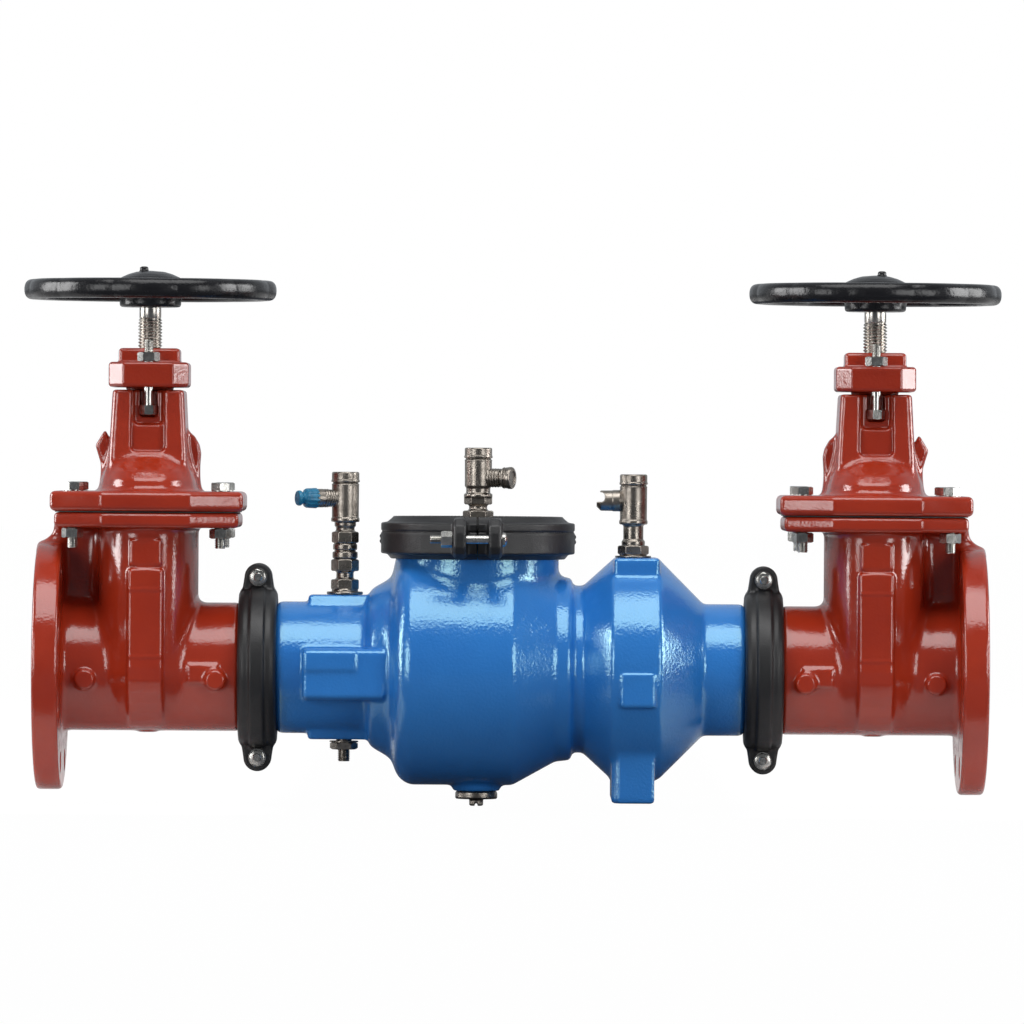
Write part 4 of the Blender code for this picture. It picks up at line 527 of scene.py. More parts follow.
def calculate(tree, operation, first, second=None, clamp=False):
    node = tree.nodes.new("ShaderNodeMath")
    node.operation = operation
    node.use_clamp = clamp
    for index, value in enumerate((first, second)):
        if value is None:
            continue
        if isinstance(value, (int, float)):
            node.inputs[index].default_value = value
        else:
            tree.links.new(value, node.inputs[index])
    return node.outputs[0]


def noiseOf(tree, coordinates, scale, detail=3.0, rough=0.5):
    node = tree.nodes.new("ShaderNodeTexNoise")
    node.inputs["Detail"].default_value = detail
    node.inputs["Roughness"].default_value = rough
    tree.links.new(coordinates, node.inputs["Vector"])
    if isinstance(scale, (int, float)):
        node.inputs["Scale"].default_value = scale
    else:
        tree.links.new(scale, node.inputs["Scale"])
    return node.outputs["Fac"]


def remapped(tree, value, low, high, toLow=0.0, toHigh=1.0):
    node = tree.nodes.new("ShaderNodeMapRange")
    node.clamp = True
    tree.links.new(value, node.inputs["Value"])
    for label, number in (("From Min", low), ("From Max", high), ("To Min", toLow), ("To Max", toHigh)):
        node.inputs[label].default_value = number
    return node.outputs["Result"]


def buildPeel():
    # Height of sprayed paint: fine orange peel over the slow waves of the sand mould
    number = "NodeSocketFloat"
    group, entry, leave = newGroup(
        "paintPeel",
        (("Peel Scale", number, 420.0), ("Wave Scale", number, 45.0), ("Wave Share", number, 0.6)),
        (("Height", number),),
    )
    where = group.nodes.new("ShaderNodeTexCoord").outputs["Object"]
    peel = noiseOf(group, where, entry.outputs["Peel Scale"], 2.0, 0.45)
    wave = noiseOf(group, where, entry.outputs["Wave Scale"], 2.0, 0.4)
    lifted = calculate(group, "MULTIPLY", wave, entry.outputs["Wave Share"])
    group.links.new(calculate(group, "ADD", peel, lifted), leave.inputs["Height"])
    return group


def buildDriftAndShade():
    # Slow change of colour at random, and painted shade: darker in the hollows, where shade falls
    number = "NodeSocketFloat"
    colour = "NodeSocketColor"
    group, entry, leave = newGroup(
        "colourDriftAndShade",
        (
            ("Colour", colour, (0.5, 0.5, 0.5, 1)),
            ("Deep Colour", colour, (0.3, 0.3, 0.3, 1)),
            ("Edge Colour", colour, (0.7, 0.7, 0.7, 1)),
            ("Scale", number, 20.0),
            ("Drift", number, 0.5),
            ("Hollow Shade", number, 0.6),
            ("Edge", number, 0.5),
        ),
        (("Colour", colour), ("Worn", number)),
    )
    where = group.nodes.new("ShaderNodeTexCoord").outputs["Object"]
    cloud = remapped(group, noiseOf(group, where, entry.outputs["Scale"], 4.0, 0.55), 0.35, 0.7)
    point = group.nodes.new("ShaderNodeNewGeometry").outputs["Pointiness"]
    # Painted shade: concave places, read from Pointiness, move towards the deep colour
    hollow = remapped(group, point, 0.50, 0.42)
    raised = remapped(group, point, 0.53, 0.62)
    grain = remapped(group, noiseOf(group, where, 260.0, 3.0), 0.4, 0.62)
    speckled = calculate(group, "MULTIPLY", raised, grain)
    worn = calculate(group, "MULTIPLY", speckled, entry.outputs["Edge"], True)
    deep = calculate(
        group,
        "ADD",
        calculate(group, "MULTIPLY", cloud, entry.outputs["Drift"]),
        calculate(group, "MULTIPLY", hollow, entry.outputs["Hollow Shade"]),
        True,
    )
    darker = group.nodes.new("ShaderNodeMix")
    darker.data_type = "RGBA"
    group.links.new(deep, darker.inputs["Factor"])
    group.links.new(entry.outputs["Colour"], darker.inputs["A"])
    group.links.new(entry.outputs["Deep Colour"], darker.inputs["B"])
    lighter = group.nodes.new("ShaderNodeMix")
    lighter.data_type = "RGBA"
    group.links.new(worn, lighter.inputs["Factor"])
    group.links.new(darker.outputs["Result"], lighter.inputs["A"])
    group.links.new(entry.outputs["Edge Colour"], lighter.inputs["B"])
    group.links.new(lighter.outputs["Result"], leave.inputs["Colour"])
    group.links.new(worn, leave.inputs["Worn"])
    return group


def buildGrain():
    # Cast or turned metal: specks, faint smears and a roughness that follows them
    number = "NodeSocketFloat"
    group, entry, leave = newGroup(
        "metalGrain",
        (
            ("Grain Scale", number, 900.0),
            ("Smear Scale", number, 60.0),
            ("Smooth", number, 0.2),
            ("Rough", number, 0.45),
        ),
        (("Roughness", number), ("Height", number)),
    )
    where = group.nodes.new("ShaderNodeTexCoord").outputs["Object"]
    fine = noiseOf(group, where, entry.outputs["Grain Scale"], 3.0, 0.6)
    smear = noiseOf(group, where, entry.outputs["Smear Scale"], 5.0, 0.6)
    spread = calculate(group, "SUBTRACT", entry.outputs["Rough"], entry.outputs["Smooth"])
    amount = calculate(group, "MULTIPLY", remapped(group, smear, 0.3, 0.7), spread)
    group.links.new(calculate(group, "ADD", amount, entry.outputs["Smooth"]), leave.inputs["Roughness"])
    group.links.new(fine, leave.inputs["Height"])
    return group


peelGroup = buildPeel()
driftAndShadeGroup = buildDriftAndShade()
grainGroup = buildGrain()


def useGroup(tree, group, values):
    node = tree.nodes.new("ShaderNodeGroup")
    node.node_tree = group
    for label, value in values.items():
        node.inputs[label].default_value = value
    return node


def addBump(tree, height, distance):
    bump = tree.nodes.new("ShaderNodeBump")
    bump.inputs["Distance"].default_value = distance
    bump.inputs["Strength"].default_value = 1.0
    tree.links.new(height, bump.inputs["Height"])
    return bump.outputs["Normal"]


def startFinish(name, sockets):
    finish = bpy.data.materials.new(name)
    finish.use_nodes = True
    tree = finish.node_tree
    shader = tree.nodes["Principled BSDF"]
    for label, value in sockets.items():
        shader.inputs[label].default_value = value
    return finish, tree, shader


def paintFinish(name, colour, deep, edge, sockets, peel, bumpDistance, drift):
    finish, tree, shader = startFinish(name, sockets)
    tint = useGroup(tree, driftAndShadeGroup, {"Colour": colour, "Deep Colour": deep, "Edge Colour": edge, **drift})
    height = useGroup(tree, peelGroup, peel)
    rough = sockets["Roughness"]
    grain = useGroup(tree, grainGroup, {"Smooth": rough - 0.03, "Rough": rough + 0.08})
    tree.links.new(tint.outputs["Colour"], shader.inputs["Base Color"])
    tree.links.new(grain.outputs["Roughness"], shader.inputs["Roughness"])
    tree.links.new(addBump(tree, height.outputs["Height"], bumpDistance), shader.inputs["Normal"])
    return finish


def metalFinish(name, colour, deep, edge, smooth, rough, grainScale, bumpDistance, drift):
    finish, tree, shader = startFinish(name, {"Metallic": 1.0})
    tint = useGroup(tree, driftAndShadeGroup, {"Colour": colour, "Deep Colour": deep, "Edge Colour": edge, **drift})
    grain = useGroup(tree, grainGroup, {"Grain Scale": grainScale, "Smooth": smooth, "Rough": rough})
    tree.links.new(tint.outputs["Colour"], shader.inputs["Base Color"])
    tree.links.new(grain.outputs["Roughness"], shader.inputs["Roughness"])
    tree.links.new(addBump(tree, grain.outputs["Height"], bumpDistance), shader.inputs["Normal"])
    return finish


# Each finish's Hollow Shade value sets how strongly painted shade darkens its hollows
finishes = {
    "redEpoxy": paintFinish(
        "redEpoxy",
        (0.39, 0.033, 0.011, 1),
        (0.27, 0.019, 0.008, 1),
        (0.50, 0.065, 0.030, 1),
        {"Roughness": 0.12, "IOR": 1.66},
        {"Peel Scale": 400.0, "Wave Scale": 60.0, "Wave Share": 1.2},
        0.00018,
        {"Scale": 14.0, "Drift": 0.55, "Hollow Shade": 0.7, "Edge": 0.35},
    ),
    "blueEpoxy": paintFinish(
        "blueEpoxy",
        (0.028, 0.205, 0.62, 1),
        (0.017, 0.145, 0.50, 1),
        (0.06, 0.31, 0.78, 1),
        {"Roughness": 0.13, "IOR": 2.0, "Specular Tint": (0.6, 1.0, 0.95, 1)},
        {"Peel Scale": 400.0, "Wave Scale": 45.0, "Wave Share": 1.1},
        0.00028,
        {"Scale": 9.0, "Drift": 0.5, "Hollow Shade": 0.6, "Edge": 0.3},
    ),
    "blackIron": paintFinish(
        "blackIron",
        (0.014, 0.014, 0.015, 1),
        (0.008, 0.008, 0.009, 1),
        (0.05, 0.047, 0.044, 1),
        {"Roughness": 0.42, "Coat Weight": 0.0, "IOR": 1.5},
        {"Peel Scale": 700.0, "Wave Scale": 90.0, "Wave Share": 0.8},
        0.00018,
        {"Scale": 30.0, "Drift": 0.5, "Hollow Shade": 0.5, "Edge": 0.6},
    ),
    "blackEnamel": paintFinish(
        "blackEnamel",
        (0.011, 0.011, 0.013, 1),
        (0.006, 0.006, 0.007, 1),
        (0.04, 0.04, 0.042, 1),
        {"Roughness": 0.22, "IOR": 1.4},
        {"Peel Scale": 260.0, "Wave Scale": 60.0, "Wave Share": 1.5},
        0.00025,
        {"Scale": 25.0, "Drift": 0.5, "Hollow Shade": 0.4, "Edge": 0.4},
    ),
    "nickelBronze": metalFinish(
        "nickelBronze",
        (0.36, 0.325, 0.285, 1),
        (0.14, 0.122, 0.105, 1),
        (0.60, 0.56, 0.51, 1),
        0.20,
        0.38,
        900.0,
        0.00016,
        {"Scale": 120.0, "Drift": 0.6, "Hollow Shade": 0.8, "Edge": 0.6},
    ),
    "zincSteel": metalFinish(
        "zincSteel",
        (0.52, 0.51, 0.48, 1),
        (0.26, 0.25, 0.225, 1),
        (0.78, 0.77, 0.75, 1),
        0.14,
        0.32,
        1400.0,
        0.00008,
        {"Scale": 150.0, "Drift": 0.5, "Hollow Shade": 0.8, "Edge": 0.7},
    ),
    "stainlessSteel": metalFinish(
        "stainlessSteel",
        (0.50, 0.47, 0.43, 1),
        (0.24, 0.215, 0.19, 1),
        (0.74, 0.71, 0.67, 1),
        0.17,
        0.34,
        1800.0,
        0.00005,
        {"Scale": 110.0, "Drift": 0.4, "Hollow Shade": 0.9, "Edge": 0.7},
    ),
    "springSteel": metalFinish(
        "springSteel",
        (0.42, 0.41, 0.40, 1),
        (0.25, 0.24, 0.23, 1),
        (0.6, 0.6, 0.6, 1),
        0.22,
        0.36,
        2000.0,
        0.00004,
        {"Scale": 200.0, "Drift": 0.5, "Hollow Shade": 0.5, "Edge": 0.4},
    ),
    "blackRubber": paintFinish(
        "blackRubber",
        (0.020, 0.020, 0.021, 1),
        (0.012, 0.012, 0.012, 1),
        (0.035, 0.035, 0.036, 1),
        {"Roughness": 0.58, "IOR": 1.5},
        {"Peel Scale": 1500.0, "Wave Scale": 120.0, "Wave Share": 0.7},
        0.00008,
        {"Scale": 60.0, "Drift": 0.6, "Hollow Shade": 0.4, "Edge": 0.4},
    ),
    "greyPolymer": paintFinish(
        "greyPolymer",
        (0.30, 0.31, 0.32, 1),
        (0.22, 0.23, 0.24, 1),
        (0.40, 0.41, 0.42, 1),
        {"Roughness": 0.38, "IOR": 1.5},
        {"Peel Scale": 900.0, "Wave Scale": 80.0, "Wave Share": 0.7},
        0.00006,
        {"Scale": 50.0, "Drift": 0.5, "Hollow Shade": 0.5, "Edge": 0.4},
    ),
    "tealCap": paintFinish(
        "tealCap",
        (0.012, 0.19, 0.34, 1),
        (0.006, 0.10, 0.21, 1),
        (0.05, 0.36, 0.55, 1),
        {"Roughness": 0.30, "IOR": 1.5},
        {"Peel Scale": 700.0, "Wave Scale": 180.0, "Wave Share": 1.0},
        0.00020,
        {"Scale": 160.0, "Drift": 0.7, "Hollow Shade": 0.7, "Edge": 0.8},
    ),
}
print("stage: finishes")


def octagonOutline(halfX, halfY, facetHalf, sideHalf):
    return [
        (halfX, -sideHalf),
        (halfX, sideHalf),
        (facetHalf, halfY),
        (-facetHalf, halfY),
        (-halfX, sideHalf),
        (-halfX, -sideHalf),
        (-facetHalf, -halfY),
        (facetHalf, -halfY),
    ]


def uOutline(halfWidth, depth, top, steps=16):
    outline = [(halfWidth, top), (-halfWidth, top)]
    for i in range(steps + 1):
        angle = math.pi * i / steps
        outline.append((-halfWidth * math.cos(angle), -depth * math.sin(angle)))
    return outline


jointBolts = [(sx * 68.0, sy * 56.9) for sx in (-1, 1) for sy in (-1, 1)]

gateBody = {
    "step": 1.3,
    "flange": (-102.5, -78.7, 114.3),
    "boltCircle": 95.25,
    "boltHole": 9.5,
    "bore": 51.0,
    "run": 59.5,
    "endRadius": 57.15,
    "grooveRadius": 55.0,
    "end": 100.5,
    "barrel": (46.0, 75.4),
    "barrelDepth": 57.8,
    "jointFlange": (128.8, 142.95, 85.0, 85.9, 40.5, 61.9),
    "panelHalf": 16.0,
    "panelReach": 78.0,
    "panelTop": 91.0,
    "lines": (72.5, 10.6),
    "bosses": (-56.0, 64.3),
}


def cavityFields(field, low, high):
    return [
        boxField(field, (-28.0, -55.0, max(low, 0.0)), (28.0, 55.0, high), 6.0),
        boxField(field, (-10.4, -65.4, max(low, -13.4)), (10.4, 65.4, high), 1.0),
    ]


def makeGateBody():
    own = gateBody
    field = openField((-105.3, -117.0, -117.0), (103.0, 117.0, 145.0), own["step"])
    z = field["z"]
    start, back, radius = own["flange"]
    end = own["end"]
    runProfile = [
        (back - 4.0, own["run"]),
        (end - 16.9, own["run"]),
        (end - 16.4, own["endRadius"]),
        (end - 14.6, own["endRadius"]),
        (end - 14.6, own["grooveRadius"]),
        (end - 9.0, own["grooveRadius"]),
        (end - 9.0, own["endRadius"]),
        (end, own["endRadius"]),
    ]
    flange = turnedField(field, [(start + 3.0, radius - 3.0), (back - 3.0, radius - 3.0)], "x", round=3.0)
    body = blended(turnedField(field, runProfile, "x"), flange, 9.0)
    halfX, halfY = own["barrel"]
    sunk = np.clip(-z / own["barrelDepth"], 0, 0.995)
    share = np.sqrt(1 - sunk**2)
    barrel = ovalField(field, halfX * share, halfY * share, 2.3)
    barrel = np.maximum(barrel, np.maximum(-own["barrelDepth"] - z, z - 140.0))
    body = blended(body, barrel, 9.0)
    flangeLow, flangeHigh, flangeX, flangeY, facet, sideHalf = own["jointFlange"]
    outline = octagonOutline(flangeX, flangeY, facet, sideHalf)
    body = blended(body, prismField(field, outline, flangeLow, flangeHigh, "z", 4.0, 4.0), 5.0)
    gusset = [(-82.0, 55.5), (-100.5, 104.0), (-84.0, 131.0), (-38.0, 131.0), (-38.0, 55.5)]
    body = blended(body, prismField(field, gusset, -7.0, 7.0, "y", 4.0), 12.0)
    panel = uOutline(own["panelReach"], own["barrelDepth"], own["panelTop"])
    body = blended(body, prismField(field, panel, -own["panelHalf"], own["panelHalf"], "x", 2.0), 3.0)
    pad = boxField(field, (-14.5, -76.3, 94.0), (14.5, 76.3, 118.0), 0.8)
    body = blended(body, pad, 1.0)
    for x in own["bosses"]:
        body = blended(body, rodField(field, 9.3, -66.5, 66.5, "y", (x, 0, -11.0), 2.0), 4.0)
    rib = [(39.0, -14.0), (66.0, -14.0), (66.0, 3.0), (39.0, 3.0)]
    body = blended(body, prismField(field, rib, -62.0, 62.0, "y", 2.0), 5.0)
    body = softened(body, 1)
    for level in own["lines"]:
        ridge = np.sqrt((np.abs(field["y"]) - own["panelReach"] + 0.2) ** 2 + (z - level) ** 2) - 1.1
        body = blended(body, np.maximum(ridge, np.abs(field["x"]) - own["panelHalf"] + 1.0), 0.8)
    body = hollowed(body, rodField(field, own["bore"], -200.0, 200.0, "x"), 1.0)
    for cutter in cavityFields(field, -56.0, 200.0):
        body = hollowed(body, cutter, 0.6)
    for k in range(8):
        angle = math.tau * (k + 0.5) / 8
        centre = (0, own["boltCircle"] * math.cos(angle), own["boltCircle"] * math.sin(angle))
        body = hollowed(body, rodField(field, own["boltHole"], -200.0, -70.0, "x", centre), 0.8)
    for x, y in jointBolts:
        body = hollowed(body, rodField(field, 6.0, 120.0, 200.0, "z", (x, y, 0)), 0.6)
    return castMesh("gateBodyCasting", field, body)


bonnet = {
    "step": 1.2,
    "flange": (143.75, 162.4, 89.0, 87.9, 40.5, 63.9),
    "domeHeights": (150.0, 160.4, 172.5, 181.6, 188.1, 196.0, 206.0),
    "domeWide": (1.02, 1.0, 0.97, 0.90, 0.82, 0.74, 0.60),
    "domeDeep": (1.03, 1.0, 0.97, 0.87, 0.72, 0.56, 0.42),
    "tower": (178.0, 256.0, 33.0, 39.0),
    "recesses": (
        (34.5, 16.5, 199.0, 15.0, 2.0, 6.0, 1.5),
        (28.5, 13.5, 224.0, 13.0, 3.0, 5.0, 3.0),
        (18.0, 8.2, 231.0, 6.8, 1.0, 3.0, 1.0),
    ),
    "lug": ((26.0, 156.0), (28.0, 217.0), (35.0, 219.0), (42.0, 213.5), (46.5, 205.5), (48.0, 198.0),
            (47.2, 186.0), (47.2, 174.0), (48.5, 156.0)),
    "hook": ((-26.0, 156.0), (-46.0, 156.0), (-44.0, 172.0), (-45.0, 188.0), (-50.0, 204.5), (-41.0, 219.5),
             (-38.0, 212.0), (-36.4, 200.0), (-34.0, 191.0), (-26.0, 190.0)),
}


def makeBonnet():
    own = bonnet
    field = openField((-91.0, -90.0, 142.5), (91.0, 90.0, 258.5), own["step"])
    x, y, z = field["x"], field["y"], field["z"]
    low, high, halfX, halfY, facet, sideHalf = own["flange"]
    body = prismField(field, octagonOutline(halfX, halfY, facet, sideHalf), low, high, "z", 5.0, 5.0)
    wide = np.interp(z, own["domeHeights"], own["domeWide"]).astype(np.float32)
    deep = np.interp(z, own["domeHeights"], own["domeDeep"]).astype(np.float32)
    dome = ovalField(field, 46.0 * wide, 75.4 * deep, 2.4)
    dome = np.maximum(dome, np.maximum(150.0 - z, z - 204.0))
    body = blended(body, softened(dome, 2), 7.0)
    foot, top, towerX, towerY = own["tower"]
    flare = 4.0 * (top - z) / (top - foot)
    corner = 6.5
    overX = np.abs(x) - (towerX + flare - corner)
    overY = np.abs(y) - (towerY + flare - corner)
    tower = np.sqrt(np.maximum(overX, 0) ** 2 + np.maximum(overY, 0) ** 2)
    tower = tower + np.minimum(np.maximum(overX, overY), 0) - corner
    tower = slab(tower, z, foot - 10.0, top, 2.5)
    body = blended(body, tower, 9.0)
    for outline in (own["lug"], own["hook"]):
        body = blended(body, prismField(field, outline, -8.0, 8.0, "y", 3.5), 5.0)
    body = softened(body, 1)
    # Front and rear: a shallow panel, a deeper scoop over it, then the slot for the plate bolt
    for side in (-1, 1):
        for inner, footHalf, foot, topHalf, edge, corner, fillet in own["recesses"]:
            outline = [(-footHalf, foot), (footHalf, foot), (topHalf, 290.0), (-topHalf, 290.0)]
            low, high = sorted((side * inner, side * 90.0))
            body = hollowed(body, prismField(field, outline, low, high, "y", edge, corner), fillet)
    for cutter in cavityFields(field, 100.0, 166.0):
        body = hollowed(body, cutter, 0.6)
    body = hollowed(body, rodField(field, 11.7, 100.0, 300.0), 0.5)
    body = hollowed(body, rodField(field, 14.6, 178.0, 300.0), 0.5)
    for bx, by in jointBolts:
        body = hollowed(body, rodField(field, 6.0, 120.0, 200.0, "z", (bx, by, 0)), 0.6)
    return castMesh("bonnetCasting", field, body)


def makeJointGasket():
    # A thin sheet between the two flanges, open over the cavity
    outer = octagonOutline(84.2, 85.0, 40.2, 61.2)
    inner = octagonOutline(34.0, 66.5, 14.0, 57.0)
    levels = ((outer, 143.0), (outer, 143.7), (inner, 143.7), (inner, 143.0))
    rings = [[(x, y, level) for x, y in outline] for outline, level in levels]
    return shapeMesh("jointGasket", ringed(rings, True))


def makeBushPlate():
    field = openField((-39.0, -47.0, 239.5), (39.0, 47.0, 297.0), 0.8)
    plate = prismField(field, octagonOutline(37.0, 45.0, 23.0, 30.0), 258.4, 281.7, "z", 3.2, 3.2)
    block = boxField(field, (-28.4, -19.5, 270.0), (28.4, 19.5, 294.7), 3.6)
    plate = softened(blended(plate, block, 2.0), 1)
    plate = blended(plate, rodField(field, 22.0, 256.3, 262.0), 0.0)
    plate = blended(plate, rodField(field, 13.9, 241.0, 262.0), 0.0)
    plate = hollowed(plate, rodField(field, 11.7, 200.0, 320.0), 0.8)
    for y in (-30.9, 30.9):
        plate = hollowed(plate, rodField(field, 5.2, 250.0, 284.0, "z", (0, y, 0)), 0.5)
    return castMesh("bushPlateCasting", field, plate)


wheel = {
    "step": 1.2,
    "rimRadius": 108.0,
    "spokes": 5,
    "firstSpoke": 0.27,
    "rimHalf": (7.6, 9.3),
    "middle": 348.7,
    "lobes": 12,
    "hub": ((332.7, 26.5), (333.9, 28.5), (341.0, 28.5), (347.0, 25.5), (352.0, 27.0), (357.5, 28.5)),
    "cap": ((356.0, 28.5), (358.9, 28.5), (360.2, 27.6), (363.4, 20.5), (365.6, 13.0), (366.7, 0.0)),
}


def makeWheel():
    own = wheel
    field = openField((-119.0, -119.0, 331.0), (119.0, 119.0, 373.5), own["step"])
    x, y, z = field["x"], field["y"], field["z"]
    radial = np.sqrt(x * x + y * y + 1e-4)
    angle = np.arctan2(y, x)
    bulge = np.abs(np.cos(0.5 * own["lobes"] * angle))
    halfWide, halfTall = own["rimHalf"]
    reach = own["rimRadius"] - 0.9 + 2.2 * bulge
    u = np.abs(radial - reach) / halfWide
    v = np.abs(z - own["middle"]) / halfTall
    around = (u**2.4 + v**2.4) ** (1 / 2.4)
    rim = (around - 1) * halfWide
    body = turnedField(field, own["hub"], "z")
    for k in range(own["spokes"]):
        turn = math.tau * (k + own["firstSpoke"]) / own["spokes"]
        along = x * math.cos(turn) + y * math.sin(turn)
        across = -x * math.sin(turn) + y * math.cos(turn)
        width = 9.0 - 1.8 * np.clip(along / 108.0, 0, 1)
        dip = 1.5 * np.clip(along / 108.0, 0, 1) - 1.5
        ring = np.sqrt((across / width) ** 2 + ((z - own["middle"] - dip) / 5.2) ** 2)
        spoke = np.maximum((ring - 1) * 5.2, np.maximum(-along, along - 106.0))
        body = blended(body, spoke, 6.0)
    body = blended(body, rim, 5.0)
    body = softened(body, 1)
    body = blended(body, turnedField(field, own["cap"], "z"), 0.6)
    body = blended(body, rodField(field, 4.0, 360.0, 370.6, "z", (-6.0, 0, 0), 1.6), 0.5)
    half = 7.8
    body = hollowed(body, boxField(field, (-half, -half, 320.0), (half, half, 357.4), 0.5), 0.0)
    return castMesh("handwheelCasting", field, body)


def makeWedge():
    field = openField((-26.0, -66.0, -52.0), (26.0, 66.0, 60.0), 1.1)
    x, y, z = field["x"], field["y"], field["z"]
    radial = np.sqrt(y * y + z * z)
    column = np.maximum(np.abs(y) - 49.9, -z)
    outside = np.maximum(np.minimum(radial - 49.9, column), z - 57.8)
    half = 24.0 - (58.0 - z) * math.tan(math.radians(5))
    disc = np.maximum(outside, np.abs(x) - half)
    body = softened(disc, 2)
    dish = np.maximum(radial - 36.0, half - 2.5 - np.abs(x))
    body = hollowed(body, dish, 3.0)
    guides = boxField(field, (-9.0, -64.0, -12.0), (9.0, 64.0, 50.0), 2.0)
    body = blended(body, guides, 2.0)
    body = hollowed(body, boxField(field, (-60.0, -15.7, 41.7), (60.0, 15.7, 50.3), 0.2), 0.0)
    body = hollowed(body, boxField(field, (-60.0, -9.2, 42.0), (60.0, 9.2, 80.0), 0.2), 0.0)
    return castMesh("wedgeRubber", field, body)


stem = {
    "radius": 11.1,
    "threadDepth": 1.5,
    "pitch": 3.0,
    "starts": 2,
    "threadLow": 150.0,
    "threadHigh": 322.0,
    "squareHalf": 7.5,
}


def makeStem():
    own = stem
    span = (own["threadLow"], own["threadHigh"])
    thread = threadedRod(own["radius"], own["threadDepth"], own["pitch"], *span, 40, 0.22, own["starts"])
    foot = turnedShape([(13.8, 42.0), (15.0, 43.2), (15.0, 49.2), (14.4, 50.0), (8.5, 50.0), (8.5, 58.6),
                        (10.2, 58.6), (10.9, 59.4), (10.9, 148.5), (9.4, 150.4)], 48)
    neck = turnedShape([(8.8, 321.5), (9.8, 322.4), (10.1, 323.2), (10.1, 332.2)], 48)
    half = own["squareHalf"]
    corners = [(-half, -half), (half, -half), (half, half), (-half, half)]
    square = ringed([[(x, y, z) for x, y in corners] for z in (332.1, 355.5)])
    return shapeMesh("stemScrew", together(foot, thread, neck, square), 50)


gateBodyMesh = makeGateBody()
print("stage: gate body", len(gateBodyMesh.polygons))
bonnetMesh = makeBonnet()
print("stage: bonnet", len(bonnetMesh.polygons))
bushPlateMesh = makeBushPlate()
wheelMesh = makeWheel()
wedgeMesh = makeWedge()
stemMesh = makeStem()
print("stage: gate valve pieces")

bonnetBolt = {"flats": 16.5, "nutFlats": 17.5, "radius": 5.0, "turns": (0.2, 0.75, 0.5, 0.05)}


def makeBonnetBolt(turn):
    own = bonnetBolt
    return shapeMesh(
        "jointBolt",
        together(
            turnedShape([(8.0, 162.6), (8.2, 162.8), (8.2, 163.3), (8.0, 163.5)], 32),
            hexagonHead(own["flats"], 163.4, 170.7, turn, False, True),
            turnedShape([(own["radius"] - 0.3, 130.0), (own["radius"] - 0.3, 164.0)], 24),
            threadedRod(own["radius"], 0.75, 1.6, 110.0, 131.0, 24),
            hexagonHead(own["nutFlats"], 119.0, 128.4, 0.3 * turn - 0.1),
        ),
        32,
    )


def makePlateBolt():
    return shapeMesh(
        "plateBolt",
        together(
            hexagonHead(14.0, 232.9, 241.7, 0.12, True, False),
            turnedShape([(4.2, 241.0), (4.2, 283.0)], 24),
            hexagonHead(18.0, 282.1, 291.0, 0.04),
            threadedRod(4.5, 0.7, 1.5, 283.0, 302.0, 24),
        ),
        32,
    )


def placeGateValves():
    boltMeshes = [makeBonnetBolt(turn) for turn in bonnetBolt["turns"]]
    plateBoltMesh = makePlateBolt()
    gasketMesh = makeJointGasket()
    for side in sides:
        at = (stationX[side], 0, 0)
        turn = 0.0 if side == "inlet" else math.pi
        red = finishes["redEpoxy"]
        zinc = finishes["zincSteel"]
        for name, mesh, node in (
            ("GateBody", gateBodyMesh, "gate_body"),
            ("Bonnet", bonnetMesh, "bonnet"),
            ("BushPlate", bushPlateMesh, "bush_plate"),
        ):
            addPiece(side + name, mesh, red, "root", [f"{side}_{node}"], at, turn)
        addPiece(side + "JointGasket", gasketMesh, finishes["blackRubber"], "root", [f"{side}_bonnet_gasket"],
                 at, turn)
        addPiece(side + "Wheel", wheelMesh, finishes["blackEnamel"], f"{side}_stem", [f"{side}_handwheel"],
                 at, turn)
        addPiece(side + "Stem", stemMesh, finishes["stainlessSteel"], f"{side}_stem", [f"{side}_stem"],
                 at, turn)
        addPiece(side + "Wedge", wedgeMesh, finishes["blackRubber"], f"{side}_wedge", [f"{side}_wedge"],
                 at, turn)
        for mesh, node in zip(boltMeshes, bonnetBoltNodes(side)):
            low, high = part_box(node)
            centre = (0.5 * (low[0] + high[0]) / toMetres, 0.5 * (low[1] + high[1]) / toMetres, 0)
            number = node[-1]
            addPiece(f"{side}JointBolt{number}", mesh, zinc, "root", [node], centre)
        for where, y in (("front", -30.9), ("rear", 30.9)):
            addPiece(f"{side}PlateBolt_{where}", plateBoltMesh, zinc, "root", [f"{side}_plate_bolt_{where}"],
                     (at[0], y, 0))


def bonnetBoltNodes(side):
    return [f"{side}_bonnet_bolt_{number}" for number in (1, 2, 3, 4)]


placeGateValves()
print("stage: gate valves placed")

checkBody = {
    "step": 1.6,
    "bore": 51.0,
    "nipple": 61.0,
    "endRadius": 57.15,
    "grooveRadius": 55.0,
    "start": 1.5,
    "end": 466.5,
    "chamber": 108.0,
    "shoulder": ((95.0, 61.0), (100.5, 62.5), (102.5, 69.0), (105.0, 72.8), (109.0, 75.6), (118.0, 80.6),
                 (123.0, 84.4), (125.5, 89.0), (127.5, 95.0), (130.5, 100.5), (135.5, 105.2), (142.0, 108.0)),
    "ring": 85.0,
    "waist": 77.4,
    "second": 102.0,
    "neckX": 203.0,
    "neck": 75.0,
    "rim": 83.0,
    "neckTop": 121.0,
}


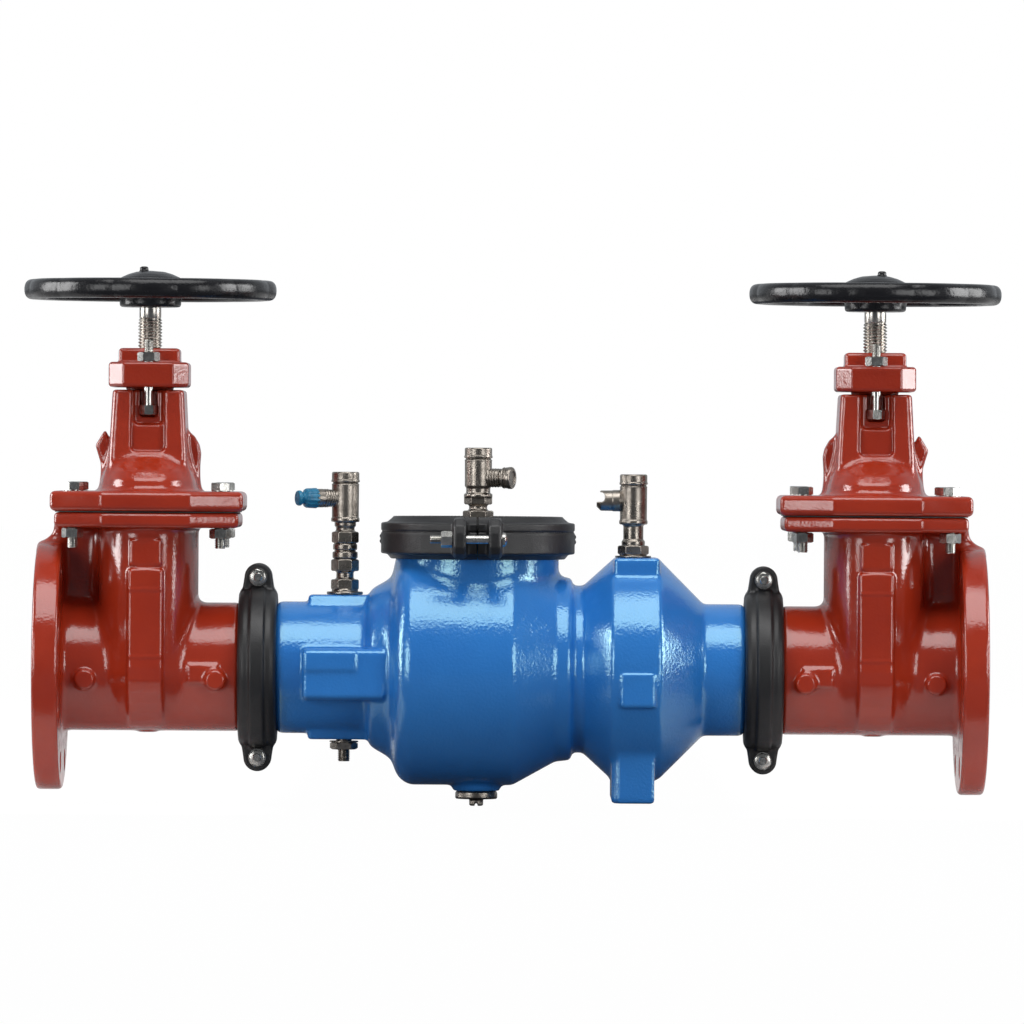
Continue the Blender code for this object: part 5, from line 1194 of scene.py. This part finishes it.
def makeCheckBody():
    own = checkBody
    field = openField((0.0, -112.0, -124.0), (468.0, 112.0, 123.0), own["step"])
    start, end = own["start"], own["end"]
    nipple = own["nipple"]
    profile = [
        (start, own["endRadius"]),
        (start + 9.0, own["endRadius"]),
        (start + 9.0, own["grooveRadius"]),
        (start + 14.6, own["grooveRadius"]),
        (start + 14.6, own["endRadius"]),
        (start + 16.6, own["endRadius"]),
        (start + 17.2, nipple),
        *own["shoulder"],
        (236.0, own["chamber"]),
        (275.5, own["ring"] + 1.0),
        (276.5, own["ring"] + 0.8),
        (290.0, own["ring"] - 0.6),
        (291.5, own["waist"]),
        (301.0, own["waist"]),
        (328.0, own["second"]),
        (371.5, own["second"]),
        (412.3, nipple),
        (end - 17.2, nipple),
        (end - 16.6, own["endRadius"]),
        (end - 14.6, own["endRadius"]),
        (end - 14.6, own["grooveRadius"]),
        (end - 9.0, own["grooveRadius"]),
        (end - 9.0, own["endRadius"]),
        (end, own["endRadius"]),
    ]
    body = softened(turnedField(field, profile, "x"), 2)
    neckAt = (own["neckX"], 0, 0)
    neck = turnedField(field, [(20.0, own["neck"]), (own["neckTop"] - 4.0, own["neck"])], "z", neckAt)
    body = blended(body, neck, 8.0)
    flare = turnedField(field, [(60.0, own["neck"] - 2.0), (111.8, own["neck"] + 0.5), (112.2, own["rim"]),
                                (own["neckTop"], own["rim"])], "z", neckAt)
    body = np.minimum(body, flare)
    for low, high, edge, fillet in (
        ((329.0, -54.0, 20.0), (371.0, 54.0, 103.5), 2.0, 3.0),
        ((335.0, -103.6, -33.0), (367.0, -20.0, -2.0), 1.0, 1.0),
    ):
        body = blended(body, boxField(field, low, high, edge), fillet)
    # Pads on the inlet neck: outlines in the plane across the pipe, sloped towards the front
    upper = [(-24.0, 20.0), (-24.0, 54.0), (-17.0, 67.5), (17.0, 67.5), (24.0, 54.0), (24.0, 20.0)]
    lower = [(-24.0, -20.0), (24.0, -20.0), (24.0, -54.0), (19.0, -66.2), (-19.0, -66.2), (-24.0, -54.0)]
    for outline in (upper, lower):
        body = blended(body, prismField(field, outline, 46.5, 110.0, "x", 2.0, 1.5), 2.5)
    front = [(-10.0, -28.5), (-76.0, -28.5), (-82.5, -25.5), (-82.5, -3.0), (-84.4, -0.6), (-84.4, 15.5),
             (-80.5, 19.0), (-10.0, 19.0)]
    body = blended(body, prismField(field, front, 43.5, 93.0, "x", 2.2), 2.5)
    flush = [(-10.0, -28.5), (-76.0, -28.5), (-82.5, -25.5), (-82.5, 15.5), (-79.0, 19.0), (-10.0, 19.0)]
    body = blended(body, prismField(field, flush, 60.0, 119.0, "x", 2.2), 1.0)
    foot = [(327.5, -60.5), (334.0, -68.0), (367.0, -68.0), (367.0, 68.0), (334.0, 68.0), (327.5, 60.5)]
    body = blended(body, prismField(field, foot, -122.0, -20.0, "z", 2.5, 1.0), 4.0)
    drain = rodField(field, 22.0, -113.5, -60.0, "z", neckAt, 2.0)
    body = blended(body, drain, 5.0)
    body = softened(body, 1)
    line = np.sqrt((field["y"] + 103.4) ** 2 + (field["z"] + 3.2) ** 2) - 0.9
    body = blended(body, np.maximum(line, np.abs(field["x"] - 350.0) - 13.5), 0.6)
    body = hollowed(body, rodField(field, own["bore"], -20.0, 104.0, "x"), 1.0)
    core = turnedField(
        field,
        [
            (100.0, own["bore"]),
            (104.7, own["bore"]),
            (104.7, 61.7),
            (114.0, 61.7),
            (142.0, 100.0),
            (232.0, 100.0),
            (266.7, 61.7),
            (279.3, 61.7),
            (279.3, 57.8),
            (300.0, 57.8),
            (332.0, 95.0),
            (364.0, 95.0),
            (408.0, own["bore"]),
            (500.0, own["bore"]),
        ],
        "x",
    )
    body = hollowed(body, core, 1.0)
    body = hollowed(body, rodField(field, 66.0, 45.0, 200.0, "z", neckAt), 0.8)
    ringCut = rodField(field, 73.0, 118.0, 200.0, "z", neckAt)
    ringCut = np.maximum(ringCut, -rodField(field, 68.9, 100.0, 210.0, "z", neckAt))
    body = hollowed(body, ringCut, 0.0)
    for x, low, high in ((80.0, 0.0, 90.0), (80.0, -90.0, 0.0), (347.0, 0.0, 130.0)):
        body = hollowed(body, rodField(field, 8.0, low, high, "z", (x, 0, 0)), 0.5)
    body = hollowed(body, rodField(field, 12.7, -140.0, -50.0, "z", neckAt), 0.5)
    return castMesh("checkBodyCasting", field, body)


def makeCover():
    field = openField((-85.0, -85.0, 111.0), (85.0, 85.0, 140.5), 0.9)
    profile = [(112.3, 65.3), (121.3, 65.3), (121.3, 83.0), (130.8, 83.0), (130.8, 76.0), (134.6, 74.4),
               (135.8, 72.5), (135.2, 45.0), (135.4, 24.0), (137.0, 18.5), (138.8, 15.5)]
    lid = turnedField(field, profile, "z")
    lid = softened(lid, 1)
    lid = hollowed(lid, rodField(field, 8.0, 100.0, 150.0), 0.5)
    return castMesh("coverCasting", field, lid)


clamp = {"boltY": 102.2, "boltZ": 120.3}


def makeClampHalf():
    own = clamp
    field = openField((-94.5, -115.0, 100.0), (1.0, 115.0, 142.5), 0.9)
    x, y, z = field["x"], field["y"], field["z"]
    outside = turnedField(
        field,
        [(101.5, 80.5), (105.6, 84.0), (106.4, 89.2), (107.0, 89.8), (134.0, 89.8), (134.8, 89.0),
         (135.6, 84.0), (138.5, 80.4), (141.0, 78.0)],
        "z",
    )
    groove = turnedField(field, [(126.1, 120.0), (127.7, 120.0)], "z")
    shell = np.maximum(groove, 88.7 - np.sqrt(x * x + y * y))
    body = hollowed(outside, shell, 0.3)
    for side in (-1, 1):
        lug = [(side * 86.0, 102.8), (side * 103.0, 102.8), (side * 109.5, 107.0), (side * 112.7, 113.0),
               (side * 112.7, 126.0), (side * 110.5, 133.0), (side * 104.0, 139.0), (side * 86.0, 140.5)]
        body = blended(body, prismField(field, lug, -22.1, -10.2, "x", 3.2), 5.0)
    for place in (117.6, 122.2):
        nub = np.sqrt((x + 89.0) ** 2 + y**2 + (z - place) ** 2) - 2.2
        body = blended(body, nub, 1.0)
    body = np.maximum(body, np.abs(x + 60.0) - 59.7)
    body = hollowed(body, turnedField(field, [(90.0, 75.7), (111.2, 75.7), (111.2, 83.7), (131.1, 83.7),
                                              (131.1, 76.7), (160.0, 76.7)], "z"), 0.3)
    for side in (-1, 1):
        hole = rodField(field, 5.2, -60.0, 20.0, "x", (0, side * own["boltY"], own["boltZ"]))
        body = hollowed(body, hole, 0.4)
    return castMesh("clampHalfCasting", field, body)


def makeClampBolt():
    return shapeMesh(
        "clampBolt",
        together(
            threadedRod(4.1, 0.6, 1.4, -43.3, -21.0, 24),
            hexagonHead(13.4, -33.6, -22.8, 0.2),
            turnedShape([(4.0, -22.0), (4.0, 23.5)], 28),
            turnedShape([(6.6, 22.6), (6.8, 23.2), (6.4, 25.4), (4.6, 27.0), (2.0, 27.6)], 28),
        ),
        32,
    )


coupling = {"step": 0.95, "bolt": 83.55, "ear": 12.8, "split": 0.2}


def makeCouplingHalf():
    own = coupling
    field = openField((-20.5, -78.0, -98.5), (20.5, 1.2, 98.5), own["step"])
    x, y, z = field["x"], field["y"], field["z"]
    ring = turnedField(
        field,
        [(-17.7, 64.0), (-17.7, 68.0), (-16.2, 71.0), (-12.6, 73.0), (-7.2, 73.6), (-6.4, 75.9), (6.4, 75.9),
         (7.2, 73.6), (12.6, 73.0), (16.2, 71.0), (17.7, 68.0), (17.7, 64.0)],
        "x",
    )
    body = ring
    for side in (-1, 1):
        ear = []
        for k in range(17):
            angle = math.pi * k / 16
            ear.append((own["ear"] * math.cos(angle), side * (own["bolt"] + own["ear"] * math.sin(angle))))
        ear += [(-15.5, side * 66.0), (15.5, side * 66.0)]
        body = blended(body, prismField(field, ear, -14.0, 6.0, "y", 1.6), 3.5)
    body = softened(body, 1)
    body = np.maximum(body, y + own["split"])
    inner = turnedField(
        field,
        [(-60.0, 57.5), (-16.3, 57.5), (-16.3, 55.4), (-10.8, 55.4), (-10.8, 67.0), (10.8, 67.0),
         (10.8, 55.4), (16.3, 55.4), (16.3, 57.5), (60.0, 57.5)],
        "x",
    )
    body = hollowed(body, inner, 0.4)
    for side in (-1, 1):
        body = hollowed(body, rodField(field, 4.6, -60.0, 20.0, "y", (0, 0, side * own["bolt"])), 0.4)
    return castMesh("couplingHalfCasting", field, body)


def makeCouplingBolt():
    # Along the axis that becomes Y, with its nut at the front
    return shapeMesh(
        "couplingBolt",
        together(
            threadedRod(4.0, 0.6, 1.25, -24.3, -13.0, 28),
            turnedShape([(8.2, -15.1), (8.4, -14.8), (8.4, -14.2)], 28),
            hexagonHead(13.4, -21.9, -15.0, 0.35),
            turnedShape([(4.0, -14.0), (4.0, 15.0)], 28),
            hexagonHead(13.4, 14.3, 21.0, 0.1),
        ),
        32,
    )


def placeCheckPieces():
    centre = (bodyStart + checkBody["neckX"], 0, 0)
    black = finishes["blackIron"]
    zinc = finishes["zincSteel"]
    bodyMesh = makeCheckBody()
    print("stage: check body", len(bodyMesh.polygons))
    addPiece("checkBodyCasting", bodyMesh, finishes["blueEpoxy"], "root", ["check_body"],
             (bodyStart, 0, 0))
    addPiece("coverLid", makeCover(), black, "root", ["cover"], centre)
    half = makeClampHalf()
    addPiece("clampLeft", half, black, "root", ["clamp_half_left"], centre)
    addPiece("clampRight", half, black, "root", ["clamp_half_right"], centre, math.pi)
    clampBolt = makeClampBolt()
    for where, side in (("front", -1), ("rear", 1)):
        place = (centre[0], side * clamp["boltY"], clamp["boltZ"])
        addPiece(f"clampBolt_{where}", clampBolt, zinc, "root", [f"clamp_bolt_{where}"], place,
                 0.0, "x")
    couplingHalf = makeCouplingHalf()
    couplingBolt = makeCouplingBolt()
    for side in sides:
        at = (couplingX[side], 0, 0)
        for label, where, turn in (("Front", "front", 0.0), ("Rear", "rear", math.pi)):
            addPiece(f"{side}Coupling{label}", couplingHalf, black, "root", [f"{side}_coupling_{where}"],
                     at, turn)
        for where, level in (("top", 1), ("bottom", -1)):
            place = (at[0], 0, level * coupling["bolt"])
            addPiece(f"{side}CouplingBolt_{where}", couplingBolt, zinc, "root",
                     [f"{side}_coupling_bolt_{where}"], place, 0.0, "y")


placeCheckPieces()
print("stage: check body, clamp and couplings placed")

# Test cocks: a stack of (kind, corner radius or radius, height) from the face up, and a port profile
cocks = {
    "test_cock_1": {
        "x": 80.0,
        "face": 67.5,
        "portDrop": 24.5,
        "portSide": -1,
        "stack": (
            ("washer", 16.7, 4.4),
            ("hexagon", 13.1, 9.6),
            ("taper", 8.0, 7.6),
            ("hexagon", 13.1, 10.9),
            ("round", 10.4, 0.9),
            ("round", 11.7, 6.2),
            ("round", 10.0, 1.6),
            ("round", 11.2, 5.6),
            ("round", 10.2, 0.9),
            ("hexagon", 12.7, 10.4),
            ("taper", 8.6, 5.2),
            ("round", 9.9, 3.8),
        ),
        "lean": 24.0,
        "port": (
            (0.0, 7.4), (10.6, 7.4), (11.0, 8.3), (11.6, 8.3), (12.1, 7.5), (12.7, 7.5), (13.2, 8.3),
            (13.8, 8.3), (14.3, 7.5), (14.9, 7.5), (15.4, 8.3), (16.0, 8.3), (16.5, 7.6), (17.3, 7.6),
            (17.8, 8.6), (18.8, 8.6), (19.2, 8.0), (19.7, 8.0), (20.1, 8.6), (21.1, 8.6), (21.5, 8.2),
            (22.0, 8.2), (22.4, 8.6), (30.5, 8.6),
        ),
    },
    "test_cock_2": {
        "x": 203.0,
        "face": 138.8,
        "portDrop": 27.9,
        "portSide": 1,
        "stack": (
            ("hexagon", 14.4, 7.2),
            ("taper", 8.4, 5.6),
            ("hexagon", 13.2, 9.7),
            ("overlap", 0.0, -3.5),
        ),
        "waist": 11.2,
        "lean": 22.0,
        "port": (
            (0.0, 7.6), (11.0, 7.6), (11.5, 8.8), (12.3, 8.8), (12.8, 7.8), (13.7, 7.8), (14.2, 8.9),
            (15.0, 8.9), (15.5, 7.9), (16.4, 7.9), (16.9, 8.9), (17.7, 8.9), (18.2, 7.9), (19.1, 7.9),
            (19.6, 8.9), (20.4, 8.9), (20.9, 7.9), (21.6, 7.9), (22.0, 8.7), (22.6, 8.7), (23.2, 6.9),
            (25.0, 6.9), (25.6, 9.9), (26.7, 9.9), (27.2, 8.7), (27.8, 8.7), (28.3, 9.9), (29.2, 9.9),
            (29.6, 9.0), (30.1, 10.2), (33.6, 10.2), (34.4, 9.4),
        ),
    },
    "test_cock_3": {
        "x": 347.0,
        "face": 103.5,
        "portDrop": 24.5,
        "portSide": -1,
        "stack": (("washer", 16.8, 2.6), ("hexagon", 14.6, 8.4), ("round", 10.8, 4.2), ("taper", 9.3, 15.3)),
        "port": (
            (0.0, 8.0), (11.4, 8.0), (11.9, 9.4), (12.5, 9.9), (19.0, 9.9), (19.6, 9.5), (30.4, 9.4),
            (34.8, 5.0),
        ),
    },
}
barrel = {"length": 37.0, "ring": 9.5, "bodyRadius": 12.5, "ringRadius": 13.2}


def hexagonOutline(flats, phase):
    radius = flats / math.sqrt(3)
    angles = [phase + math.tau * k / 6 for k in range(6)]
    return [(radius * math.cos(angle), radius * math.sin(angle)) for angle in angles]


def leaning(name):
    # The turn that points a cock's port a little towards the front
    own = cocks[name]
    return -own["portSide"] * math.radians(own.get("lean", 0.0))


def makeCock(name):
    own = cocks[name]
    height = 0.3 + sum(level for _, _, level in own["stack"]) + barrel["length"] + barrel["ring"]
    reach = own["portSide"] * 27.0
    far = reach + own["portSide"] * 9.0
    low = (min(-19.0, far - 1.0), -19.0, -10.0)
    high = (max(19.0, far + 1.0), 19.0, height + 1.5)
    field = openField(low, high, 0.62)
    body = rodField(field, 7.3, -9.0, 3.0)
    level = 0.3
    for kind, size, tall in own["stack"]:
        if kind == "overlap":
            level += tall
            continue
        if kind == "hexagon":
            outline = hexagonOutline(size * math.sqrt(3), -leaning(name))
            shape = prismField(field, outline, level, level + tall, "z", 0.3, 0.5)
            chamfer = turnedField(field, [(level, size * 0.89), (level + 1.2, size * 1.02),
                                          (level + tall - 1.2, size * 1.02), (level + tall, size * 0.89)])
            shape = np.maximum(shape, chamfer)
        elif kind == "washer":
            shape = rodField(field, size, level, level + tall * 0.6, "z", (0, 0, 0), 0.5)
            shape = np.minimum(shape, rodField(field, size - 4.5, level, level + tall + 0.5))
        elif kind == "taper":
            shape = turnedField(field, [(level - 0.6, size + 1.8), (level + 1.6, size),
                                        (level + tall - 1.4, size), (level + tall + 0.6, size + 1.6)])
        else:
            shape = rodField(field, size, level, level + tall, "z", (0, 0, 0), 0.9)
            shape = np.minimum(shape, rodField(field, size - 2.0, level - 0.5, level + tall + 0.5))
        body = np.minimum(body, shape)
        level += tall
    top = level + barrel["length"] + barrel["ring"]
    ringRadius = barrel["ringRadius"]
    radius = barrel["bodyRadius"]
    waist = own.get("waist", radius)
    body = blended(body, turnedField(field, [
        (level, ringRadius - 0.8),
        (level + 0.8, ringRadius),
        (level + 3.4, ringRadius),
        (level + 4.5, waist),
        (level + 9.0, waist),
        (level + 10.8, radius),
        (top - 12.4, radius + 0.1),
        (top - 11.4, radius + 0.4),
        (top - 10.7, radius - 0.9),
        (top - 9.9, radius - 0.9),
        (top - 9.4, ringRadius),
        (top - 7.8, ringRadius),
        (top - 7.2, ringRadius - 0.5),
        (top - 0.9, ringRadius - 0.5),
        (top, ringRadius - 1.4),
    ]), 0.4)
    portZ = top - own["portDrop"]
    turn = own["portSide"]
    portAt = (0, 0, portZ)
    profile = [(turn * along, r) for along, r in own["port"]]
    if turn < 0:
        profile.reverse()
    port = turnedField(field, profile, "x", portAt)
    bore = rodField(field, 3.5, min(0, turn * 50), max(0, turn * 50), "x", portAt)
    if name == "test_cock_2":
        port = hollowed(port, rodField(field, 6.8, 33.4, 60.0, "x", portAt), 0.5)
        bore = rodField(field, 3.5, 0.0, 26.6, "x", portAt)
    if name == "test_cock_3":
        # Two prongs with a slot between them, the upper one shorter
        slot = boxField(field, (-60.0, -30.0, portZ - 1.2), (-26.6, 30.0, portZ + 7.6), 3.4)
        shorter = boxField(field, (-60.0, -30.0, portZ + 2.0), (-31.0, 30.0, portZ + 30.0), 1.0)
        port = hollowed(hollowed(port, slot, 0.4), shorter, 0.4)
        bore = rodField(field, 5.0, -60.0, -20.0, "x", portAt)
    body = blended(body, port, 0.7)
    body = hollowed(body, rodField(field, 8.7, top - 35.5, top + 30.0), 0.4)
    body = hollowed(body, rodField(field, 3.5, -30.0, top - 34.0), 0.0)
    body = hollowed(body, bore, 0.5)
    return castMesh(name + "Casting", field, body), top, portZ


def makePlug(name, portZ, top):
    field = openField((-9.3, -9.3, top - 36.5), (9.3, 9.3, top + 1.0), 0.6)
    body = rodField(field, 8.0, top - 35.2, top - 1.5, "z", (0, 0, 0), 0.8)
    body = hollowed(body, rodField(field, 3.5, top - 60.0, portZ), 0.0)
    body = hollowed(body, rodField(field, 3.5, -20.0, 0.0, "y", (0, 0, portZ)), 0.0)
    body = hollowed(body, boxField(field, (-1.1, -30.0, top - 4.6), (1.1, 30.0, top + 10.0), 0.0), 0.3)
    return castMesh(name + "Plug", field, body)


def makePortCap(portZ):
    field = openField((-50.5, -12.5, portZ - 12.5), (-26.0, 12.5, portZ + 12.5), 0.55)
    y, z = field["y"], field["z"] - portZ
    angle = np.arctan2(z, y)
    profile = [(-48.6, 6.2), (-48.0, 7.0), (-45.6, 7.2), (-44.6, 6.6), (-43.6, 5.4), (-42.0, 5.6),
               (-40.8, 7.8), (-39.8, 8.8), (-29.4, 9.3), (-28.6, 9.0)]
    cap = turnedField(field, profile, "x", (0, 0, portZ))
    cap = cap + 0.25 * np.cos(14 * angle) * (field["x"] > -41.0)
    cap = softened(cap, 1)
    cap = hollowed(cap, rodField(field, 8.7, -30.9, 0.0, "x", (0, 0, portZ)), 0.2)
    return castMesh("portCap", field, cap)


def placeCocks():
    bronze = finishes["nickelBronze"]
    for name, own in cocks.items():
        at = (bodyStart + own["x"], 0, own["face"])
        mesh, top, portZ = makeCock(name)
        addPiece(name + "Casting", mesh, bronze, "root", [name + "_body"], at, leaning(name))
        addPiece(name + "Plug", makePlug(name, portZ, top), finishes["stainlessSteel"], name + "_plug",
                 [name + "_plug"], at)
        if name == "test_cock_1":
            addPiece("portCap", makePortCap(portZ), finishes["tealCap"], "root", ["test_cock_1_cap"],
                     at, leaning(name))


def placePlugs():
    field = openField((-21.0, -21.0, -128.5), (21.0, 21.0, -103.0), 0.6)
    profile = [(-127.3, 5.4), (-126.3, 6.5), (-121.6, 6.5), (-120.6, 8.5), (-120.8, 18.6), (-119.6, 19.5),
               (-115.2, 19.5), (-113.8, 18.8), (-113.8, 12.0), (-104.6, 12.0)]
    own = turnedField(field, profile, "z")
    own = hollowed(own, boxField(field, (-1.2, -30.0, -140.0), (1.2, 30.0, -125.0)), 0.3)
    drain = castMesh("drainPlugCasting", field, own)
    addPiece("drainPlug", drain, finishes["nickelBronze"], "root", ["drain_plug"],
             (bodyStart + checkBody["neckX"], 0, 0))
    shape = together(
        turnedShape([(13.0, -69.2), (13.4, -68.9), (13.4, -68.1), (13.0, -67.8)], 36),
        hexagonHead(22.5, -75.8, -69.0, 0.05),
        turnedShape([(7.2, -68.5), (7.2, -58.6)], 24),
        threadedRod(5.7, 0.8, 1.8, -86.8, -75.0, 24),
    )
    addPiece("padPlug", shapeMesh("padPlug", shape, 32), finishes["nickelBronze"], "root", ["pad_plug"],
             (bodyStart + 80.0, 0, 0))


placeCocks()
placePlugs()
print("stage: cocks and plugs placed")

# CAD nodes that stay get their finish here
keptFinishes = {
    "gasket": "blackRubber",
    "seal": "blackRubber",
    "cage": "greyPolymer",
    "poppet": "greyPolymer",
    "spring": "springSteel",
}


def paintKept():
    for name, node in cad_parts.items():
        for word, finish in keptFinishes.items():
            if word in name:
                for slot in node.material_slots:
                    slot.material = finishes[finish]


paintKept()
